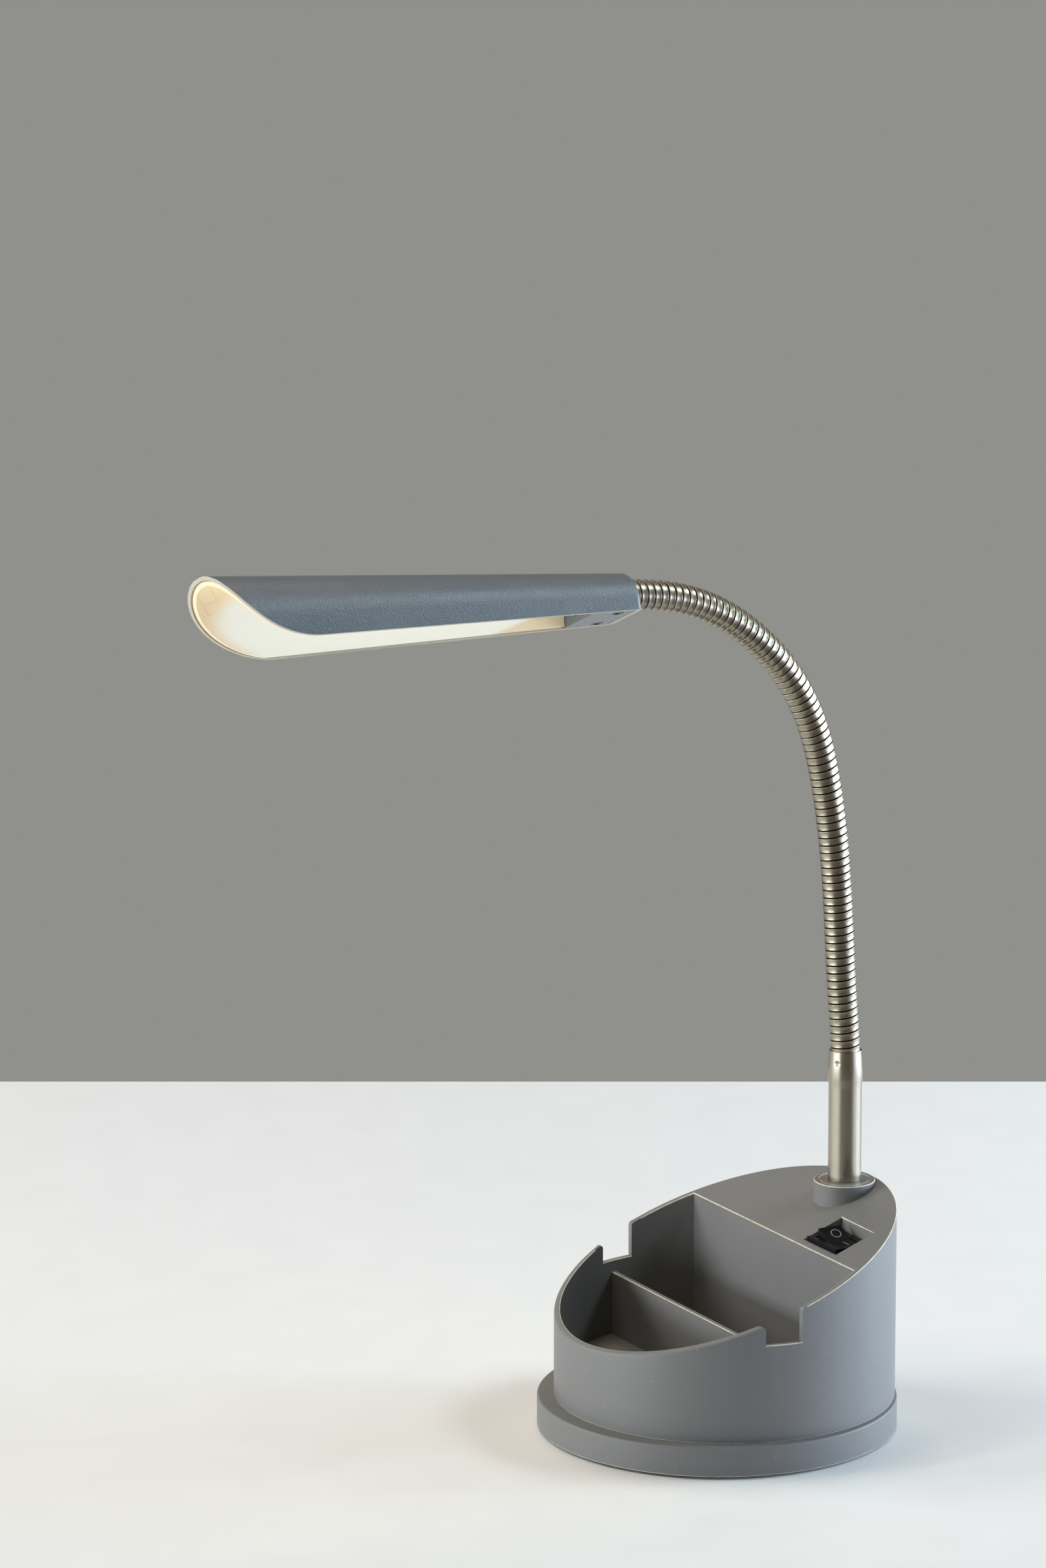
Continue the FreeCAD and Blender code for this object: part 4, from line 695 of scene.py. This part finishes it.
def makeBandTree():
    # winds the profile round the curve: each step of a turn gives a point on the helix
    tree, given, out = startGroup("woundBand", [
        ("Geometry", "Geometry", None), ("First Turn", "Float", 0.0), ("Turns", "Int", 7),
        ("Steps", "Int", 40), ("Pitch", "Float", 0.003), ("Radius", "Float", 0.0058),
        ("Profile", "Object", None), ("Material", "Material", None)],
        [("Geometry", "Geometry")], "GeometryNodeTree")
    count = plus(tree, times(tree, given["Turns"], given["Steps"]), 1.0)
    line = place(tree, "GeometryNodeCurvePrimitiveLine").outputs[0]
    run = place(tree, "GeometryNodeResampleCurve", {"Curve": line, "Count": count}, mode="COUNT")
    index = place(tree, "GeometryNodeInputIndex").outputs[0]
    turn = plus(tree, calc(tree, "DIVIDE", index, given["Steps"]), given["First Turn"])
    halfTurn = 0.5          # the first crown lies that far up the neck
    length = times(tree, plus(tree, turn, halfTurn), given["Pitch"])
    inputs = {"Curves": given["Geometry"], "Length": length}
    middle = place(tree, "GeometryNodeSampleCurve", inputs, mode="LENGTH").outputs
    sideways = (1.0, 0.0, 0.0)
    outward = vectorCalc(tree, "CROSS_PRODUCT", middle["Tangent"], sideways)
    angle = times(tree, turn, math.tau)
    radial = vectorCalc(tree, "ADD", scaled(tree, sideways, calc(tree, "COSINE", angle)),
                        scaled(tree, outward, calc(tree, "SINE", angle)))
    spot = vectorCalc(tree, "ADD", middle["Position"], scaled(tree, radial, given["Radius"]))
    wound = place(tree, "GeometryNodeSetPosition", {"Geometry": run.outputs[0], "Position": spot})
    inputs = {"Curve": wound.outputs[0], "Normal": radial}
    turned = place(tree, "GeometryNodeSetCurveNormal", inputs, mode="FREE")
    profile = place(tree, "GeometryNodeObjectInfo", {"Object": given["Profile"]}).outputs["Geometry"]
    inputs = {"Curve": turned.outputs[0], "Profile Curve": profile, "Fill Caps": True}
    band = place(tree, "GeometryNodeCurveToMesh", inputs)
    whole = place(tree, "GeometryNodeRealizeInstances", {"Geometry": band.outputs[0]})
    inputs = {"Geometry": whole.outputs[0], "Material": given["Material"]}
    join(tree, out["Geometry"], place(tree, "GeometryNodeSetMaterial", inputs).outputs[0])
    return tree


def setInput(modifier, title, value):
    for item in modifier.node_group.interface.items_tree:
        if item.item_type == "SOCKET" and item.in_out == "INPUT" and item.name == title:
            modifier[item.identifier] = value


def faceOutwards(mesh, weld):
    work = bmesh.new()
    work.from_mesh(mesh)
    bmesh.ops.remove_doubles(work, verts=work.verts, dist=weld)
    bmesh.ops.recalc_face_normals(work, faces=work.faces)
    work.to_mesh(mesh)
    work.free()


def markGap(mesh, p, path):
    # how deep each face lies below the crown of the band; the deeper faces get the painted shade
    parts = 8               # places on each step of the path that a face may be nearest to
    tree = KDTree(len(path) * parts)
    for start, end in zip(path, path[1:]):
        for part in range(parts):
            tree.insert(start.lerp(end, part / parts), 0)
    tree.balance()
    depths = [p["radius"] - tree.find(face.center)[2] for face in mesh.polygons]
    shares = [(depth - p["gapFrom"]) / p["gapSoft"] for depth in depths]
    setFaceValues(mesh, "gap", [min(max(share, 0.0), 1.0) for share in shares])


def woundBand(name, p, path, profile, tree, firstTurn, turns):
    thing = curveObject(name, path, False)
    wind = thing.modifiers.new("wind", "NODES")
    wind.node_group = tree
    inputs = {"First Turn": float(firstTurn), "Turns": turns, "Steps": p["stepsPerTurn"],
              "Pitch": p["pitch"], "Radius": p["radius"], "Profile": profile, "Material": hoseSteel}
    for title, value in inputs.items():
        setInput(wind, title, value)
    mesh = evaluatedMesh(thing)
    bpy.data.objects.remove(thing)
    faceOutwards(mesh, p["weld"])
    mesh.shade_smooth()
    mesh.set_sharp_from_angle(angle=math.radians(p["sharp"]))
    markGap(mesh, p, path)
    return addObject(name, mesh, hoseSteel)


def makeNeck(p):
    path = centreline(p)
    profile = curveObject("band_profile", bandProfile(p), True)
    tree = makeBandTree()
    links = len(p["leans"]) - 1
    perLink = p["turnsPerLink"]
    bodies = ["base"] + ["neck_%02d" % k for k in range(2, links)] + ["head"]

    lastJoint = perLink * (links - 1)       # in the head's mouth the skin is split at its joint
    for k in range(links + 1):
        first = perLink * (k - 1) + p["joinTurn"]
        last = perLink * k + p["joinTurn"]
        if k == 0:
            first = 0
        elif k == links - 1:
            last = lastJoint
        elif k == links:
            first = lastJoint
            last = perLink * links - 1
        band = woundBand("neck_band_%02d" % k, p, path, profile, tree, first, last - first)
        if k == 0:
            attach(band, "base")
        elif k == links:
            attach(band, "head")
            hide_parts("hose_link_%02d" % k)
        elif k == links - 1:
            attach(band, bodies[k - 1])
        else:
            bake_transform(band)
        if k < links - 1:
            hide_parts("hose_link_%02d" % (k + 1))
    bpy.data.objects.remove(profile)


makeNeck(hose)
print("neck wound")

marks = {
    "line": 0.28 * mm,              # printed line's width
    "thick": 0.04 * mm,
    "ringMiddle": (26.9, 37.1),     # x and y in mm on the raised half
    "ringRadius": 2.0 * mm,
    "ringSteps": 56,
    "strokeFrom": (31.9, 37.2),
    "strokeTo": (36.2, 37.2),
    "weld": 1e-7,
    "raisedFoot": (30.69 * mm, 0, 76.25 * mm),      # where the rocker's raised half starts
    "raisedLean": 30,               # degrees
    "pressedTop": 76.25 * mm,
}


def makeMarks(p):
    lean = math.radians(p["raisedLean"])
    side = Vector((-math.cos(lean), 0, math.sin(lean)))
    normal = Vector((math.sin(lean), 0, math.cos(lean)))
    foot = Vector(p["raisedFoot"])
    reach = (foot.x - p["ringMiddle"][0] * mm) / math.cos(lean)
    middle = foot + side * reach + Vector((0, p["ringMiddle"][1] * mm, 0))
    steps = p["ringSteps"]
    section = ((-0.5, -0.5), (-0.5, 0.5), (0.5, 0.5), (0.5, -0.5))     # shares of the width and thickness
    points, faces = [], []
    for k in range(steps):
        angle = math.tau * k / steps
        ray = side * math.cos(angle) + Vector((0, math.sin(angle), 0))
        for out, lift in section:
            radius = p["ringRadius"] + out * p["line"]
            points.append(middle + ray * radius + normal * (lift * p["thick"]))
        here, there = 4 * k, 4 * ((k + 1) % steps)
        for a in range(4):
            b = (a + 1) % 4
            faces.append((here + a, here + b, there + b, there + a))
    ring = bpy.data.meshes.new("rocker_mark_off")
    ring.from_pydata(points, [], faces)
    stroke = bpy.data.meshes.new("rocker_mark_on")
    half, lift = p["line"] / 2, p["thick"] / 2
    corners = [Vector((x * mm, y * mm + dy, p["pressedTop"] + dz))
               for x, y in (p["strokeFrom"], p["strokeTo"]) for dy in (-half, half) for dz in (-lift, lift)]
    sides = [(0, 1, 3, 2), (4, 6, 7, 5), (0, 4, 5, 1), (2, 3, 7, 6), (0, 2, 6, 4), (1, 5, 7, 3)]
    stroke.from_pydata(corners, [], sides)
    for name, mesh in (("rocker_mark_off", ring), ("rocker_mark_on", stroke)):
        faceOutwards(mesh, p["weld"])
        thing = addObject(name, mesh, printWhite)
        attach(thing, "rocker")


makeMarks(marks)
print("rocker marked")

kept = {
    "counterweight": castSteel, "bottom_cover": basePlastic, "base_mat": matRubber,
    "base_screws": zincSteel, "stem_washer": zincSteel, "stem_nut": zincSteel,
    "switch_terminals": brassMetal, "driver_board": boardGreen, "board_components": componentDark,
    "board_screws": zincSteel, "led_board": boardWhite, "led_chips": chipYellow,
    "neck_clamp": coverPlastic, "head_screws": zincSteel,
}
for node, material in kept.items():
    slots = nodes[node].material_slots
    for slot in slots:
        slot.material = material
    if not slots:
        nodes[node].data.materials.append(material)
print("kept nodes dressed")

studio = {
    "table": (0.86, 0.875, 0.885),
    "tableDrift": 0.985,            # how dark the table's slow clouds are
    "tableClouds": 1.3,             # per metre
    "tableGrain": 40.0,             # per metre
    "tableGrainRange": (0.3, 0.7),  # values of the grain that give the two roughnesses
    "tableRoughness": (0.42, 0.5),
    "tableBack": 0.495,             # metres from the lamp to the table's far edge
    "tableFront": 3.2,
    "tableHalf": 2.6,
    "wall": (0.279, 0.278, 0.264),
    "ambient": 0.05,
    "ambientColour": (0.95, 0.97, 1.0),
    "card": (0.20, 0.17, 0.135),    # dark card in front of the lamp that only reflections see
    "cardDrift": 0.8,
    "cardClouds": 3.0,
    "cardNear": 0.26,
    "cardFoot": 0.001,
    "cardTop": 1.1,
    "cardFrom": -30,                # degrees to the camera's right
    "cardTo": 62,
    "cardSteps": 12,
    "aimHeight": 0.05,              # metres above the table where the lamps point
}


def makeTable(s):
    yaw = math.radians(camera["yaw"])
    ahead = Vector((-math.sin(yaw), math.cos(yaw), 0))
    right = Vector((math.cos(yaw), math.sin(yaw), 0))
    mesh = bpy.data.meshes.new("table")
    back, front, half = ahead * s["tableBack"], ahead * -s["tableFront"], right * s["tableHalf"]
    mesh.from_pydata([front - half, front + half, back + half, back - half], [], [(0, 1, 2, 3)])
    material, tree, shader, spot = startMaterial("table_white")
    soft = noise(tree, spot, s["tableClouds"])
    colour = blendColour(tree, soft, opaque(s["table"]), opaque(s["table"], s["tableDrift"]))
    join(tree, shader["Base Color"], colour)
    grain = noise(tree, spot, s["tableGrain"], 3.0)
    join(tree, shader["Roughness"], ramp(tree, grain, *s["tableGrainRange"], *s["tableRoughness"]))
    addObject("table", mesh, material)


def fromCamera(angle, distance, height):
    # a place round the lamp: angle in degrees from the camera's side, positive to its right
    yaw = math.radians(camera["yaw"] + angle)
    return (math.sin(yaw) * distance, -math.cos(yaw) * distance, height)


def makeCard(s):
    mesh = bpy.data.meshes.new("dark_card")
    steps = s["cardSteps"]
    points = []
    for k in range(steps + 1):
        angle = s["cardFrom"] + (s["cardTo"] - s["cardFrom"]) * k / steps
        points += [fromCamera(angle, s["cardNear"], height) for height in (s["cardFoot"], s["cardTop"])]
    mesh.from_pydata(points, [], [(2 * k, 2 * k + 2, 2 * k + 3, 2 * k + 1) for k in range(steps)])
    material, tree, shader, spot = startMaterial("dark_card")
    soft = noise(tree, spot, s["cardClouds"])
    colour = blendColour(tree, soft, opaque(s["card"]), opaque(s["card"], s["cardDrift"]))
    join(tree, shader["Base Color"], colour)
    shader["Roughness"].default_value = 1.0
    shader["Specular IOR Level"].default_value = 0.0
    card = addObject("dark_card", mesh, material)
    card.visible_camera = card.visible_diffuse = card.visible_shadow = card.visible_transmission = False


def makeWorld(s):
    world = bpy.data.worlds.new("room")
    bpy.context.scene.world = world
    world.use_nodes = True
    tree = world.node_tree
    tree.nodes.clear()
    path = tree.nodes.new("ShaderNodeLightPath").outputs
    seen = place(tree, "ShaderNodeBackground", {"Color": opaque(s["wall"]), "Strength": 1.0})
    inputs = {"Color": opaque(s["ambientColour"]), "Strength": s["ambient"]}
    fill = place(tree, "ShaderNodeBackground", inputs)
    mirrored = calc(tree, "MAXIMUM", path["Is Glossy Ray"], path["Is Transmission Ray"])
    direct = calc(tree, "MAXIMUM", path["Is Camera Ray"], mirrored)
    mix = place(tree, "ShaderNodeMixShader", {0: direct, 1: fill.outputs[0], 2: seen.outputs[0]})
    place(tree, "ShaderNodeOutputWorld", {0: mix.outputs[0]})


def makeLamp(name, spot, size, power):
    most = max(power)
    data = bpy.data.lights.new(name, "AREA")
    data.shape = "RECTANGLE"
    data.size, data.size_y = size
    data.energy = most
    data.color = [part / most for part in power]
    lamp = bpy.data.objects.new(name, data)
    bpy.context.scene.collection.objects.link(lamp)
    lamp.location = spot
    return lamp


makeTable(studio)
makeCard(studio)
makeWorld(studio)
lamps = [   # name, degrees to the camera's right, lift in degrees, distance, size, power in each colour
    ("top_back", 180, 70, 2.20, (0.70, 0.70), (11.4, 9.0, 7.2)),
    ("top_left", -90, 70, 2.20, (0.70, 0.70), (6.0, 6.0, 5.8)),
    ("high_right", 97, 49, 2.20, (0.80, 0.50), (11.4, 13.2, 13.8)),
    ("left_box", -100, 25, 1.60, (0.80, 0.60), (11.6, 11.0, 10.6)),
    ("left_low", -66, 3, 1.30, (1.10, 0.24), (9.0, 9.8, 10.2)),
    ("right_front", 90, 6, 1.40, (1.20, 0.30), (10.5, 11.5, 15.0)),
    ("right_back", 110, 8, 1.50, (1.20, 0.36), (15.0, 18.5, 20.5)),
    ("hard_key", 100.5, 20.5, 3.00, (0.09, 0.09), (3.2, 5.4, 4.8)),
]
for name, angle, lift, distance, size, power in lamps:
    up = math.radians(lift)
    aim = Vector((0, 0, studio["aimHeight"]))
    spot = fromCamera(angle, distance * math.cos(up), aim.z + distance * math.sin(up))
    lamp = makeLamp(name, spot, size, power)
    lamp.rotation_euler = (aim - Vector(spot)).to_track_quat("-Z", "Y").to_euler()
ledLight = {                        # what the head throws down: metres and power in each colour
    "place": (-0.004, -0.135, 0.312),
    "size": (0.12, 0.02),
    "power": (0.16, 0.14, 0.095),
}
led = makeLamp("led_light", ledLight["place"], ledLight["size"], ledLight["power"])
led.rotation_euler.z = math.radians(90)
led.visible_camera = False
print("studio lit")
